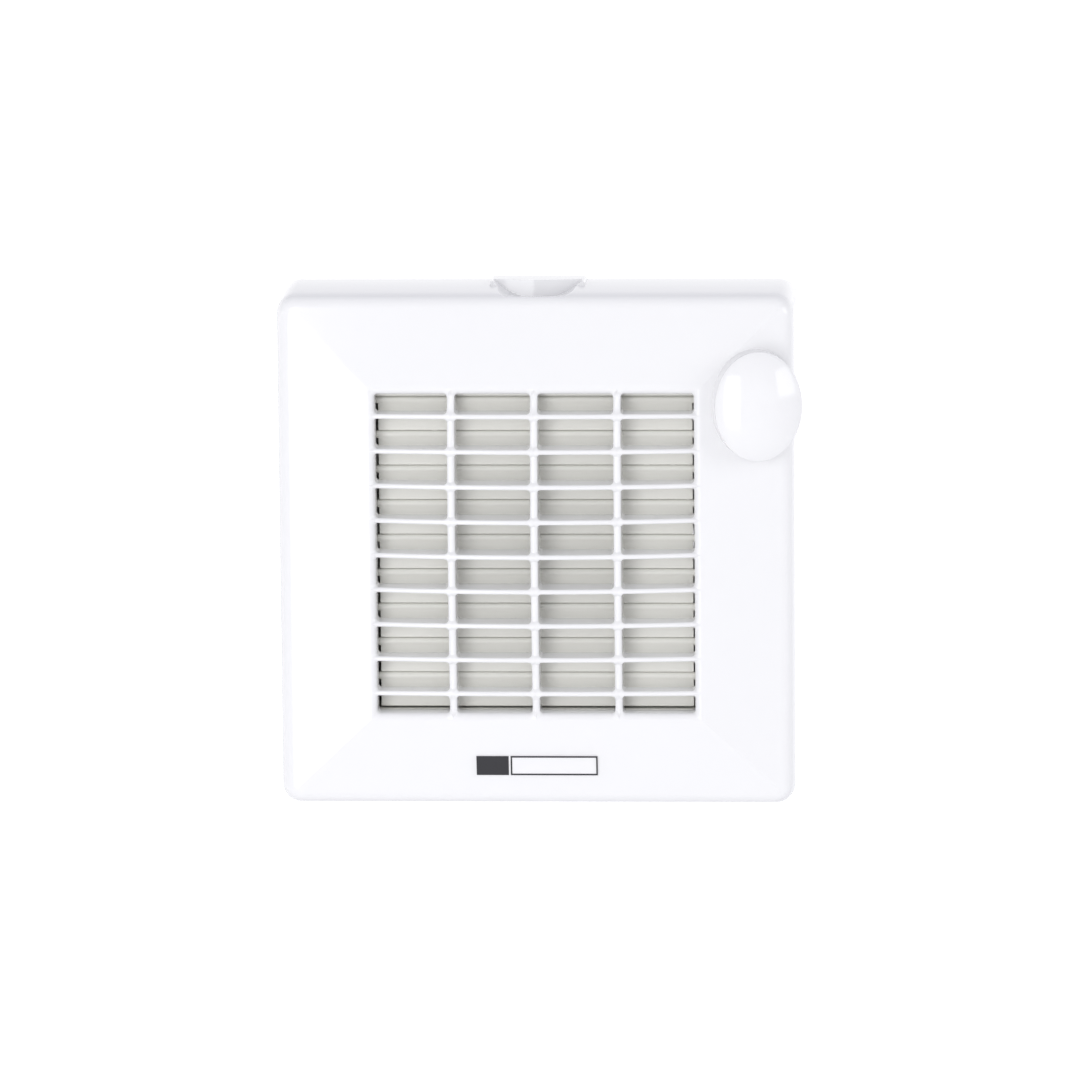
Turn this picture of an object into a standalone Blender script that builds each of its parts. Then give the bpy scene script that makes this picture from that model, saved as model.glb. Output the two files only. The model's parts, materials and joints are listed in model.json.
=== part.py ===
"""Bathroom extractor fan for a 100 mm duct, with closing shutters behind its grille.

The wall is the plane y = 0. The fan faces -Y, into the room, and its duct spigot runs
to +Y, into the wall. +X is to the right seen from the room and +Z is up. The origin is
where the duct axis meets the wall. Lengths are metres. "Out" is the distance from the
wall into the room, so it is -y.
"""
import math

import bmesh
import bpy
from mathutils import Matrix, Vector

GAP = 0.0003

# Front cover: a tapered square box with a hipped face that rises to the grille window.
COVER_HALF_WALL = 0.0795
COVER_HALF_EDGE = 0.0785
COVER_EDGE_OUT = 0.034
COVER_RIM_OUT = 0.040
COVER_SHELL = 0.0022
COVER_LIP = 0.0018
COVER_CORNER = 0.0045
WINDOW_HALF_X = 0.0500
WINDOW_LOW_Z = -0.0507
WINDOW_HIGH_Z = 0.0512
LIP_BACK_OUT = 0.0335
PEG_X = 0.030
PEG_Z = 0.069

# Finger grip on top of the cover.
GRIP_WIDTH = 0.0293
GRIP_PAD_DEPTH = 0.013
GRIP_PAD_RISE = 0.0012
GRIP_RADIUS = 0.033
GRIP_FLOOR_BACK = 0.0766
GRIP_FLOOR_EDGE = 0.0779

# Oval corner boss and its cap, square to the cover's right-hand slope.
DOME_CENTRE = Vector((0.0667, -0.0425, 0.0452))
DOME_TURN = math.radians(11.9)
DOME_HALF_HEIGHT = 0.01705
DOME_NARROWING = 0.795
DOME_CROWN = 0.0046
BOSS_DEPTH = 0.0083
DOME_SEAM = 0.0010

# Grille: nine crowned slats over three uprights.
SLAT_COUNT = 9
SLAT_PITCH = 0.0107
SLAT_SHIFT_Z = -0.0003
SLAT_HALF = 0.0006
SLAT_BACK_OUT = 0.0335
GRILLE_CROWN = 0.0050
UPRIGHT_PITCH = 0.02535
UPRIGHT_HALF = 0.00115

# Shutters: blades that hang from pins near their top edges.
BLADE_COUNT = 9
BLADE_TOP_PIVOT_Z = 0.0464
BLADE_PIVOT_OUT = 0.0307
BLADE_DROP = 0.0090
BLADE_THICK = 0.0012
BLADE_HALF_X = 0.0480
BARREL_RADIUS = 0.0012
PIN_RADIUS = 0.0010
CRANK_RADIUS = 0.0060
CRANK_REST = math.radians(-37.5)
CRANK_PIN_RADIUS = 0.0009
LINK_X = -0.05385
LINK_THICK = 0.0015
FRAME_HALF_X = 0.0490
FRAME_LOW_Z = -0.0492
FRAME_HIGH_Z = 0.0484
FRAME_WALL = 0.0018
FRAME_FRONT_OUT = 0.0328
FRAME_BACK_OUT = 0.0180
EAR_X = 0.038
EAR_TOP_Z = 0.0548
EAR_BOTTOM_Z = -0.0556
EAR_OUT = 0.0198

# Thermal actuator on the left of the shutters.
ACTUATOR_X = -0.0625
ACTUATOR_OUT = 0.0258
ACTUATOR_RADIUS = 0.0065
ACTUATOR_LOW_Z = -0.0380
ACTUATOR_HIGH_Z = -0.0080
PLUNGER_RADIUS = 0.0020
PLUNGER_TIP_Z = 0.0006
TAB_LOW_Z = 0.0010
TAB_HIGH_Z = 0.0030
SPRING_TOP_Z = 0.0196
BRACKET_BACK_OUT = 0.0170
BRACKET_SHEET = 0.0015

# Wall base and duct spigot.
BASE_HALF = 0.0766
BASE_RIM_OUT = 0.0100
BASE_SHELL = 0.0024
SPIGOT_RADIUS = 0.0490
SPIGOT_BORE = 0.0473
SPIGOT_END = 0.0620
FLANGE_RADIUS = 0.0560
FLANGE_SCREW_RADIUS = 0.0526
WALL_HOLE_AT = 0.066
CABLE_X = 0.064
CABLE_Z = -0.036
CLAMP_Z = -0.020
CLAMP_POST_SPREAD = 0.0066

# Motor and impeller, on the duct axis (y positions are into the duct).
SHAFT_RADIUS = 0.0025
STACK_FRONT = 0.0190
STACK_BACK = 0.0350
STACK_HALF_X = 0.0220
STACK_TOP_Z = 0.0210
STACK_FOOT_Z = -0.0330
STATOR_BORE = 0.0133
COIL_WINDOW_HALF_X = 0.0140
COIL_WINDOW_LOW_Z = -0.0260
COIL_WINDOW_HIGH_Z = -0.0150
MOTOR_BOLT_X = 0.0175
SPIDER_FRONT = 0.0433
SPIDER_BACK = 0.0455
SPIDER_ARM_END = 0.0465
SPIDER_SCREW_RADIUS = 0.0438
HUB_RADIUS = 0.0200
IMPELLER_RADIUS = 0.0453
IMPELLER_BLADES = 7

# The two legs (x, z) of each shading ring, one ring in each pole of the core.
SHADING_LEGS = [((-0.0155, 0.0085), (-0.0095, 0.0155)), ((0.0160, -0.0075), (0.0105, -0.0123))]

FACE_ROOM = (math.pi / 2, 0.0, 0.0)


def clear_scene():
    """Remove every object of the starting scene."""
    for old in list(bpy.data.objects):
        bpy.data.objects.remove(old, do_unlink=True)


def new_collection(name):
    """Add a collection to the scene."""
    collection = bpy.data.collections.new(name)
    bpy.context.scene.collection.children.link(collection)
    return collection


def plain_material(name, colour, roughness, metallic=0.0):
    """Make a Principled material from a colour, a roughness and a metallic value."""
    material = bpy.data.materials.new(name)
    material.use_nodes = True
    shader = material.node_tree.nodes["Principled BSDF"]
    shader.inputs["Base Color"].default_value = (*colour, 1.0)
    shader.inputs["Roughness"].default_value = roughness
    shader.inputs["Metallic"].default_value = metallic
    return material


def place(name, data, collection, location=(0.0, 0.0, 0.0), rotation=(0.0, 0.0, 0.0)):
    """Link a new object that holds the given mesh or curve."""
    thing = bpy.data.objects.new(name, data)
    thing.location = location
    thing.rotation_euler = rotation
    collection.objects.link(thing)
    return thing


def finish_mesh(name, work):
    """Turn a bmesh into a mesh that is shaded smooth up to 35 degrees."""
    mesh = bpy.data.meshes.new(name)
    work.normal_update()
    work.to_mesh(mesh)
    work.free()
    mesh.shade_smooth()
    mesh.set_sharp_from_angle(angle=math.radians(35.0))
    return mesh


def add_box(work, low, high):
    """Add a box between two corners."""
    low = Vector(low)
    high = Vector(high)
    centre = (low + high) / 2
    matrix = Matrix.Translation(centre) @ Matrix.Diagonal((*(high - low), 1.0))
    return bmesh.ops.create_cube(work, size=1.0, matrix=matrix)["verts"]


def add_rod(work, start, end, radius, sides=16):
    """Add a closed cylinder between two points."""
    start = Vector(start)
    end = Vector(end)
    axis = end - start
    turn = Vector((0.0, 0.0, 1.0)).rotation_difference(axis).to_matrix().to_4x4()
    matrix = Matrix.Translation((start + end) / 2) @ turn
    made = bmesh.ops.create_cone(work, cap_ends=True, segments=sides, radius1=radius,
                                 radius2=radius, depth=axis.length, matrix=matrix)
    return made["verts"]


def part(name, work, material, location=(0.0, 0.0, 0.0)):
    """Make a named sub-part from a bmesh."""
    thing = place(name, finish_mesh(name, work), PARTS, location)
    thing.data.materials.append(material)
    return thing


def tool(name, work):
    """Make a helper solid that joins or cuts a sub-part."""
    thing = place(name, finish_mesh(name, work), CUTTERS)
    thing.hide_render = True
    thing.display_type = "WIRE"
    return thing


def boolean(target, helper, operation):
    """Join a helper to a sub-part (UNION) or cut it away (DIFFERENCE)."""
    modifier = target.modifiers.new(helper.name, "BOOLEAN")
    modifier.operation = operation
    modifier.solver = "EXACT"
    modifier.object = helper


def boxes(name, corners):
    """Make a helper of separate boxes, each given by two corners."""
    work = bmesh.new()
    for low, high in corners:
        add_box(work, low, high)
    return tool(name, work)


def rods(name, ends, radius, sides=12):
    """Make a helper of separate cylinders, each given by its two ends."""
    work = bmesh.new()
    for start, end in ends:
        add_rod(work, start, end, radius, sides)
    return tool(name, work)


def out_rods(name, places, out_low, out_high, radius, sides=12):
    """Make a helper of cylinders along the duct axis, between two distances out."""
    ends = [((x, -out_low, z), (x, -out_high, z)) for x, z in places]
    return rods(name, ends, radius, sides)


def baked(thing):
    """Return the evaluated mesh of an object and remove the object."""
    graph = bpy.context.evaluated_depsgraph_get()
    mesh = bpy.data.meshes.new_from_object(thing.evaluated_get(graph))
    mesh.name = thing.name
    bpy.data.objects.remove(thing, do_unlink=True)
    return mesh


def turned(name, profile, material, location=(0.0, 0.0, 0.0), rotation=FACE_ROOM,
           steps=32, closed=True):
    """Turn a profile of (radius, out) points about its axis.

    The points run down the outer side, from the room to the duct, and a closed profile
    runs back up its bore.
    """
    mesh = bpy.data.meshes.new(name)
    count = len(profile)
    edges = [(i, (i + 1) % count) for i in range(count if closed else count - 1)]
    mesh.from_pydata([(radius, 0.0, out) for radius, out in profile], edges, [])
    mesh.materials.append(material)
    thing = place(name, mesh, PARTS, location, rotation)
    screw = thing.modifiers.new("turn", "SCREW")
    screw.axis = "Z"
    screw.steps = steps
    screw.render_steps = steps
    screw.use_merge_vertices = True
    screw.merge_threshold = 0.00001
    screw.use_smooth_shade = False
    return thing


def screw(name, x, z, seat_out, head_radius, head_height, shank_radius, shank_length):
    """Add a pan-head screw whose head rests at seat_out and whose shank points inwards."""
    profile = [
        (0.0, head_height),
        (head_radius * 0.62, head_height * 0.94),
        (head_radius, head_height * 0.45),
        (head_radius, 0.0),
        (shank_radius, 0.0),
        (shank_radius, -shank_length + shank_radius),
        (0.0, -shank_length),
    ]
    return turned(name, profile, STEEL, (x, -seat_out, z), steps=10, closed=False)


def around(radius, degrees):
    """Return the x and z of a point on a circle about the duct axis."""
    angle = math.radians(degrees)
    return radius * math.cos(angle), radius * math.sin(angle)


# ---------------------------------------------------------------- wall base and spigot

FRAME_POSTS = [(side * EAR_X, z) for side in (-1, 1) for z in (EAR_TOP_Z, EAR_BOTTOM_Z)]
PEGS = [(side * PEG_X, end * PEG_Z) for side in (-1, 1) for end in (-1, 1)]
WALL_HOLES = [(side * WALL_HOLE_AT, end * WALL_HOLE_AT) for side in (-1, 1) for end in (-1, 1)]
FLANGE_SCREWS = [around(FLANGE_SCREW_RADIUS, degrees) for degrees in (30, 150, 270)]
SPIDER_SCREWS = [around(SPIDER_SCREW_RADIUS, degrees) for degrees in (90, 210, 330)]
BRACKET_POSTS = [(ACTUATOR_X, 0.026), (ACTUATOR_X, -0.044)]
CLAMP_POSTS = [(CABLE_X + side * CLAMP_POST_SPREAD, CLAMP_Z) for side in (-1, 1)]
TERMINAL_SCREW = (CABLE_X, 0.002)


def base_plate():
    """Shallow square tray that is screwed to the wall, with posts for what it carries."""
    work = bmesh.new()
    add_box(work, (-BASE_HALF, -BASE_RIM_OUT, -BASE_HALF), (BASE_HALF, 0.0, BASE_HALF))
    work.normal_update()
    front = [face for face in work.faces if face.normal.y < -0.9]
    bmesh.ops.delete(work, geom=front, context="FACES_ONLY")
    corners = [edge for edge in work.edges if abs(edge.verts[0].co.y - edge.verts[1].co.y) > 0.005]
    bmesh.ops.bevel(work, geom=corners, offset=0.005, segments=2, profile=0.5, affect="EDGES")
    base = part("base_plate", work, GREY_WHITE)
    shell = base.modifiers.new("shell", "SOLIDIFY")
    shell.thickness = BASE_SHELL
    shell.offset = -1.0
    shell.use_even_offset = True
    root = BASE_SHELL - 0.0006
    boolean(base, out_rods("frame_posts", FRAME_POSTS, root, EAR_OUT - GAP, 0.0035), "UNION")
    boolean(base, out_rods("peg_sockets", PEGS, root, 0.014, 0.004), "UNION")
    boolean(base, out_rods("bracket_posts", BRACKET_POSTS, root, BRACKET_BACK_OUT - GAP, 0.0032), "UNION")
    boolean(base, out_rods("clamp_posts", CLAMP_POSTS, root, 0.0078, 0.0028), "UNION")
    spigot_hole = out_rods("spigot_hole", [(0.0, 0.0)], -0.001, 0.004, SPIGOT_RADIUS + 0.0006, 48)
    boolean(base, spigot_hole, "DIFFERENCE")
    boolean(base, out_rods("wall_holes", WALL_HOLES, -0.001, 0.004, 0.0025, 8), "DIFFERENCE")
    boolean(base, out_rods("flange_holes", FLANGE_SCREWS, -0.001, 0.004, 0.0017, 8), "DIFFERENCE")
    boolean(base, out_rods("cable_hole", [(CABLE_X, CABLE_Z)], -0.001, 0.004, 0.006, 24), "DIFFERENCE")
    boolean(base, out_rods("post_holes", FRAME_POSTS, 0.010, 0.021, 0.0017, 8), "DIFFERENCE")
    boolean(base, out_rods("socket_holes", PEGS, 0.004, 0.016, 0.0023, 8), "DIFFERENCE")
    boolean(base, out_rods("bracket_holes", BRACKET_POSTS, 0.008, 0.018, 0.0016, 8), "DIFFERENCE")
    boolean(base, out_rods("clamp_holes", CLAMP_POSTS, 0.0016, 0.009, 0.0014, 8), "DIFFERENCE")
    boolean(base, out_rods("terminal_hole", [TERMINAL_SCREW], -0.001, 0.004, 0.0015, 8), "DIFFERENCE")
    return base


def duct_spigot():
    """Tube that enters the duct, with its bell mouth, its flange and three inner lugs."""
    profile = [
        (0.0532, 0.0150),
        (0.0508, 0.0122),
        (SPIGOT_RADIUS, 0.0090),
        (SPIGOT_RADIUS, 0.0050),
        (FLANGE_RADIUS, 0.0050),
        (FLANGE_RADIUS, 0.0028),
        (SPIGOT_RADIUS, 0.0028),
        (SPIGOT_RADIUS, -SPIGOT_END + 0.002),
        (SPIGOT_RADIUS - 0.0006, -SPIGOT_END),
        (SPIGOT_BORE, -SPIGOT_END),
        (SPIGOT_BORE, 0.0088),
        (0.0492, 0.0128),
        (0.0514, 0.0150),
    ]
    spigot = turned("duct_spigot", profile, GREY_WHITE, steps=48)
    work = bmesh.new()
    for degrees in (90, 210, 330):
        verts = add_box(work, (0.0405, SPIDER_BACK + GAP, -0.0045), (0.0480, 0.0550, 0.0045))
        turn = Matrix.Rotation(-math.radians(degrees), 4, "Y")
        bmesh.ops.transform(work, matrix=turn, verts=verts)
    boolean(spigot, tool("spider_lugs", work), "UNION")
    lug_holes = out_rods("lug_holes", SPIDER_SCREWS, -0.0535, -0.0450, 0.0016, 8)
    boolean(spigot, lug_holes, "DIFFERENCE")
    flange_holes = out_rods("spigot_flange_holes", FLANGE_SCREWS, 0.002, 0.006, 0.0017, 8)
    boolean(spigot, flange_holes, "DIFFERENCE")
    return spigot


def base_fasteners():
    """Screws of the spigot flange, the spider and the shutter frame."""
    for number, (x, z) in enumerate(FLANGE_SCREWS, 1):
        screw(f"spigot_screw_{number}", x, z, 0.0050 + GAP, 0.0026, 0.0018, 0.0013, 0.0052)
    for number, (x, z) in enumerate(SPIDER_SCREWS, 1):
        screw(f"spider_screw_{number}", x, z, -SPIDER_FRONT + GAP, 0.0026, 0.0020, 0.0013, 0.0095)
    for number, (x, z) in enumerate(FRAME_POSTS, 1):
        screw(f"frame_screw_{number}", x, z, EAR_OUT + 0.0025 + GAP, 0.0028, 0.0022, 0.0014, 0.0110)


# ------------------------------------------------------------------------- wiring parts


def terminal_block():
    """Three-way terminal block with wire ways, and its fixing screw."""
    work = bmesh.new()
    add_box(work, (CABLE_X - 0.007, -0.0137, -0.0105), (CABLE_X + 0.007, -0.0027, 0.0145))
    block = part("terminal_block", work, NATURAL_NYLON)
    ways = [((CABLE_X - 0.008, -0.0065, z), (CABLE_X + 0.008, -0.0065, z)) for z in (-0.0065, 0.0105)]
    boolean(block, rods("wire_ways", ways, 0.0019, 8), "DIFFERENCE")
    caps = [(CABLE_X + side * 0.0035, z) for side in (-1, 1) for z in (-0.0065, 0.0105)]
    boolean(block, out_rods("clamp_screw_ways", caps, 0.0065, 0.0150, 0.0016, 8), "DIFFERENCE")
    boolean(block, out_rods("fixing_way", [TERMINAL_SCREW], 0.001, 0.0150, 0.0017, 8), "DIFFERENCE")
    boolean(block, out_rods("fixing_seat", [TERMINAL_SCREW], 0.0085, 0.0150, 0.0030, 16), "DIFFERENCE")
    screw("terminal_screw", *TERMINAL_SCREW, 0.0085 + GAP, 0.0026, 0.0018, 0.0012, 0.0082)
    return block


def cord_clamp():
    """Saddle that presses the supply cable onto the tray, with its two screws."""
    work = bmesh.new()
    half = CLAMP_POST_SPREAD + 0.0028
    add_box(work, (CABLE_X - half, -0.0103, CLAMP_Z - 0.0032), (CABLE_X + half, -0.0081, CLAMP_Z + 0.0032))
    clamp = part("cord_clamp", work, GREY_WHITE)
    ridge = ((CABLE_X - 0.0030, -0.0090, CLAMP_Z - 0.0008), (CABLE_X + 0.0030, -0.0070, CLAMP_Z + 0.0008))
    boolean(clamp, boxes("clamp_ridge", [ridge]), "UNION")
    boolean(clamp, out_rods("clamp_ways", CLAMP_POSTS, 0.007, 0.012, 0.0016, 8), "DIFFERENCE")
    for number, (x, z) in enumerate(CLAMP_POSTS, 1):
        screw(f"clamp_screw_{number}", x, z, 0.0103 + GAP, 0.0025, 0.0018, 0.0011, 0.0080)
    return clamp


def cable_grommet():
    """Rubber sleeve in the tray's cable hole."""
    profile = [(0.0082, 0.0050), (0.0082, 0.0027), (0.0057, 0.0027), (0.0057, 0.0002),
               (0.0035, 0.0002), (0.0035, 0.0050)]
    return turned("cable_grommet", profile, RUBBER, (CABLE_X, 0.0, CABLE_Z), steps=16)


# --------------------------------------------------------------------------- the motor


def stator_core():
    """Laminated core with the rotor bore, the coil window and holes for bolts and rings."""
    work = bmesh.new()
    add_box(work, (-STACK_HALF_X, STACK_FRONT, STACK_FOOT_Z), (STACK_HALF_X, STACK_BACK, STACK_TOP_Z))
    work.normal_update()
    along = [edge for edge in work.edges if abs(edge.verts[0].co.y - edge.verts[1].co.y) > 0.005]
    bmesh.ops.bevel(work, geom=along, offset=0.003, segments=2, profile=0.5, affect="EDGES")
    core = part("stator_core", work, LAMINATION)
    window = ((-COIL_WINDOW_HALF_X, STACK_FRONT - 0.001, COIL_WINDOW_LOW_Z),
              (COIL_WINDOW_HALF_X, STACK_BACK + 0.001, COIL_WINDOW_HIGH_Z))
    boolean(core, boxes("coil_window", [window]), "DIFFERENCE")
    boolean(core, out_rods("rotor_bore", [(0.0, 0.0)], -0.036, -0.018, STATOR_BORE, 28), "DIFFERENCE")
    bolts = [(-MOTOR_BOLT_X, 0.0), (MOTOR_BOLT_X, 0.0)]
    boolean(core, out_rods("stack_bolt_holes", bolts, -0.036, -0.018, 0.0018, 8), "DIFFERENCE")
    legs = [leg for pair in SHADING_LEGS for leg in pair]
    boolean(core, out_rods("ring_holes", legs, -0.036, -0.018, 0.0013, 8), "DIFFERENCE")
    return core


def shading_rings():
    """Two closed copper loops, one through each pole of the core."""
    for number, (first, second) in enumerate(SHADING_LEGS, 1):
        front = STACK_FRONT - 0.0014
        back = STACK_BACK + 0.0014
        loop = [(first[0], front, first[1]), (first[0], back, first[1]),
                (second[0], back, second[1]), (second[0], front, second[1])]
        curve = bpy.data.curves.new(f"shading_ring_{number}", "CURVE")
        curve.dimensions = "3D"
        curve.bevel_depth = 0.0009
        curve.bevel_resolution = 1
        spline = curve.splines.new("POLY")
        spline.points.add(len(loop) - 1)
        for point, place_at in zip(spline.points, loop):
            point.co = (*place_at, 1.0)
        spline.use_cyclic_u = True
        curve.materials.append(COPPER)
        place(f"shading_ring_{number}", curve, PARTS)


def coil():
    """Bobbin on the core's lower leg and the winding on it."""
    foot_low = STACK_FOOT_Z - GAP
    foot_high = COIL_WINDOW_LOW_Z + GAP
    front = STACK_FRONT - GAP
    back = STACK_BACK + GAP
    wall = 0.0010
    work = bmesh.new()
    add_box(work, (-0.0130, front - wall, foot_low - wall), (0.0130, back + wall, foot_high + wall))
    bobbin = part("coil_bobbin", work, NATURAL_NYLON)
    cheeks = [((x - 0.0006, 0.0114, -0.0430), (x + 0.0006, 0.0424, -0.0156)) for x in (-0.0124, 0.0124)]
    boolean(bobbin, boxes("bobbin_cheeks", cheeks), "UNION")
    tunnel = ((-0.015, front, foot_low), (0.015, back, foot_high))
    boolean(bobbin, boxes("bobbin_tunnel", [tunnel]), "DIFFERENCE")
    work = bmesh.new()
    add_box(work, (-0.0115, 0.0120, -0.0424), (0.0115, 0.0418, -0.0162))
    work.normal_update()
    along = [edge for edge in work.edges if abs(edge.verts[0].co.x - edge.verts[1].co.x) > 0.005]
    bmesh.ops.bevel(work, geom=along, offset=0.004, segments=3, profile=0.5, affect="EDGES")
    winding = part("coil_winding", work, COPPER)
    inner = wall + GAP
    core = ((-0.015, front - inner, foot_low - inner), (0.015, back + inner, foot_high + inner))
    boolean(winding, boxes("winding_hole", [core]), "DIFFERENCE")


def bearing_bracket(name, bar_near, bar_far, stack_face, boss_from, boss_to):
    """Cast bar across one face of the core, with two feet and a bearing boss."""
    low, high = sorted((bar_near, bar_far))
    work = bmesh.new()
    add_box(work, (-0.0212, low, -0.0058), (0.0212, high, 0.0058))
    bracket = part(name, work, CAST_ALLOY)
    inside = low if stack_face < low else high
    shift = 0.0002 if inside == low else -0.0002
    feet = [((x, inside + shift, 0.0), (x, stack_face, 0.0)) for x in (-MOTOR_BOLT_X, MOTOR_BOLT_X)]
    boolean(bracket, rods(name + "_feet", feet, 0.0036, 12), "UNION")
    boss = [((0.0, boss_from, 0.0), (0.0, boss_to, 0.0))]
    boolean(bracket, rods(name + "_boss", boss, 0.0075, 20), "UNION")
    bore = [((0.0, boss_from - 0.001, 0.0), (0.0, boss_to + 0.001, 0.0))]
    boolean(bracket, rods(name + "_bore", bore, 0.0049, 20), "DIFFERENCE")
    far = max(stack_face, high) + 0.001
    near = min(stack_face, low) - 0.001
    ways = [((x, near, 0.0), (x, far, 0.0)) for x in (-MOTOR_BOLT_X, MOTOR_BOLT_X)]
    boolean(bracket, rods(name + "_ways", ways, 0.0018, 8), "DIFFERENCE")
    return bracket


def bearing(name, middle):
    """Sintered sleeve bearing in a bracket's boss."""
    profile = [(0.0045, 0.0032), (0.0045, -0.0032), (SHAFT_RADIUS + 0.0002, -0.0032),
               (SHAFT_RADIUS + 0.0002, 0.0032)]
    return turned(name, profile, BRONZE, (0.0, middle, 0.0), steps=16)


def motor_bolts():
    """Two bolts that hold the brackets and the core, and that thread into the spider."""
    for number, x in enumerate((-MOTOR_BOLT_X, MOTOR_BOLT_X), 1):
        screw(f"motor_bolt_{number}", x, 0.0, -0.0110 + GAP, 0.0030, 0.0020, 0.0015, 0.0365)


def motor_spider():
    """Pressed plate behind the motor, with three arms that reach the spigot's lugs."""
    work = bmesh.new()
    add_rod(work, (0.0, SPIDER_FRONT, 0.0), (0.0, SPIDER_BACK, 0.0), 0.0235, 28)
    spider = part("motor_spider", work, ZINC_PLATE)
    work = bmesh.new()
    for degrees in (90, 210, 330):
        low = (0.0150, SPIDER_FRONT + 0.0001, -0.0042)
        high = (SPIDER_ARM_END, SPIDER_BACK - 0.0001, 0.0042)
        verts = add_box(work, low, high)
        turn = Matrix.Rotation(-math.radians(degrees), 4, "Y")
        bmesh.ops.transform(work, matrix=turn, verts=verts)
    boolean(spider, tool("spider_arms", work), "UNION")
    boolean(spider, out_rods("spider_eye", [(0.0, 0.0)], -0.047, -0.042, 0.0088, 24), "DIFFERENCE")
    bolts = [(-MOTOR_BOLT_X, 0.0), (MOTOR_BOLT_X, 0.0)]
    boolean(spider, out_rods("spider_bolt_ways", bolts, -0.047, -0.042, 0.0018, 8), "DIFFERENCE")
    boolean(spider, out_rods("spider_screw_ways", SPIDER_SCREWS, -0.047, -0.042, 0.0017, 8), "DIFFERENCE")
    return spider


def rotor():
    """Rotor core, shaft, impeller and the nut that holds it."""
    core_profile = [(0.0127, -0.0182), (0.0127, -0.0358), (SHAFT_RADIUS + GAP, -0.0358),
                    (SHAFT_RADIUS + GAP, -0.0182)]
    turned("rotor_core", core_profile, LAMINATION, steps=24)
    shaft_profile = [(0.0, 0.0148), (0.0021, 0.0148), (SHAFT_RADIUS, 0.0144),
                     (SHAFT_RADIUS, -0.0446), (0.0021, -0.0450), (0.0, -0.0450)]
    turned("motor_shaft", shaft_profile, STEEL, steps=16, closed=False)
    work = bmesh.new()
    add_rod(work, (0.0, -0.0143, 0.0), (0.0, -0.0111, 0.0), 0.0046, 6)
    nut = part("impeller_nut", work, BRONZE)
    way = [((0.0, -0.016, 0.0), (0.0, -0.010, 0.0))]
    boolean(nut, rods("impeller_nut_way", way, SHAFT_RADIUS + GAP, 16), "DIFFERENCE")


def impeller():
    """Axial impeller: a hollow hub and twisted blades."""
    hub = [(0.0075, 0.0155)]
    hub += [(0.0145, 0.0147), (0.0183, 0.0122), (HUB_RADIUS, 0.0085), (HUB_RADIUS, -0.0060)]
    hub += [(0.0184, -0.0060), (0.0184, 0.0080), (0.0170, 0.0110), (0.0140, 0.0129), (0.0093, 0.0136)]
    hub += [(0.0093, 0.0090), (0.0052, 0.0090), (0.0052, -0.0040)]
    hub += [(SHAFT_RADIUS + GAP, -0.0040), (SHAFT_RADIUS + GAP, 0.0108), (0.0075, 0.0108)]
    wheel = turned("impeller", hub, GREY_PLASTIC, steps=28)
    work = bmesh.new()
    root_radius = 0.0191
    for number in range(IMPELLER_BLADES):
        verts = bmesh.ops.create_grid(work, x_segments=4, y_segments=3, size=0.5)["verts"]
        for vert in verts:
            span = vert.co.x + 0.5
            chord_at = vert.co.y
            radius = root_radius + span * (IMPELLER_RADIUS - root_radius)
            pitch = math.radians(40.0 - 16.0 * span)
            chord = 0.0228 + 0.0225 * span
            camber = 0.0022 * (1.0 - 4.0 * chord_at * chord_at)
            sideways = chord_at * chord * math.cos(pitch) + camber * math.sin(pitch)
            out = 0.0012 + chord_at * chord * math.sin(pitch) - camber * math.cos(pitch)
            angle = number * 2.0 * math.pi / IMPELLER_BLADES + sideways / radius + 0.18 * span
            vert.co = Vector((radius * math.cos(angle), -out, radius * math.sin(angle)))
    blades = tool("impeller_blades", work)
    thick = blades.modifiers.new("thickness", "SOLIDIFY")
    thick.thickness = 0.0015
    thick.offset = 0.0
    boolean(wheel, blades, "UNION")
    return wheel


# ------------------------------------------------------------------- shutters and drive


def shutter_frame():
    """Frame around the shutter blades, with a pin hole at each end of each blade."""
    work = bmesh.new()
    low = (-FRAME_HALF_X - FRAME_WALL, -FRAME_FRONT_OUT, FRAME_LOW_Z - FRAME_WALL)
    high = (FRAME_HALF_X + FRAME_WALL, -FRAME_BACK_OUT, FRAME_HIGH_Z + FRAME_WALL)
    add_box(work, low, high)
    frame = part("shutter_frame", work, SHUTTER_GREY)
    ears = []
    for x in (-EAR_X, EAR_X):
        back = -EAR_OUT
        front = -EAR_OUT - 0.0025
        ears.append(((x - 0.005, front, 0.0490), (x + 0.005, back, EAR_TOP_Z + 0.0042)))
        ears.append(((x - 0.005, front, EAR_BOTTOM_Z - 0.0042), (x + 0.005, back, -0.0500)))
    boolean(frame, boxes("frame_ears", ears), "UNION")
    low = (-FRAME_HALF_X, -FRAME_FRONT_OUT - 0.001, FRAME_LOW_Z)
    high = (FRAME_HALF_X, -FRAME_BACK_OUT + 0.001, FRAME_HIGH_Z)
    boolean(frame, boxes("frame_opening", [(low, high)]), "DIFFERENCE")
    pins = []
    for number in range(BLADE_COUNT):
        z = BLADE_TOP_PIVOT_Z - number * SLAT_PITCH
        pins.append(((-0.053, -BLADE_PIVOT_OUT, z), (0.053, -BLADE_PIVOT_OUT, z)))
    boolean(frame, rods("pin_holes", pins, PIN_RADIUS + GAP, 8), "DIFFERENCE")
    ways = out_rods("ear_ways", FRAME_POSTS, EAR_OUT - 0.001, EAR_OUT + 0.004, 0.0018, 8)
    boolean(frame, ways, "DIFFERENCE")
    return frame


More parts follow.
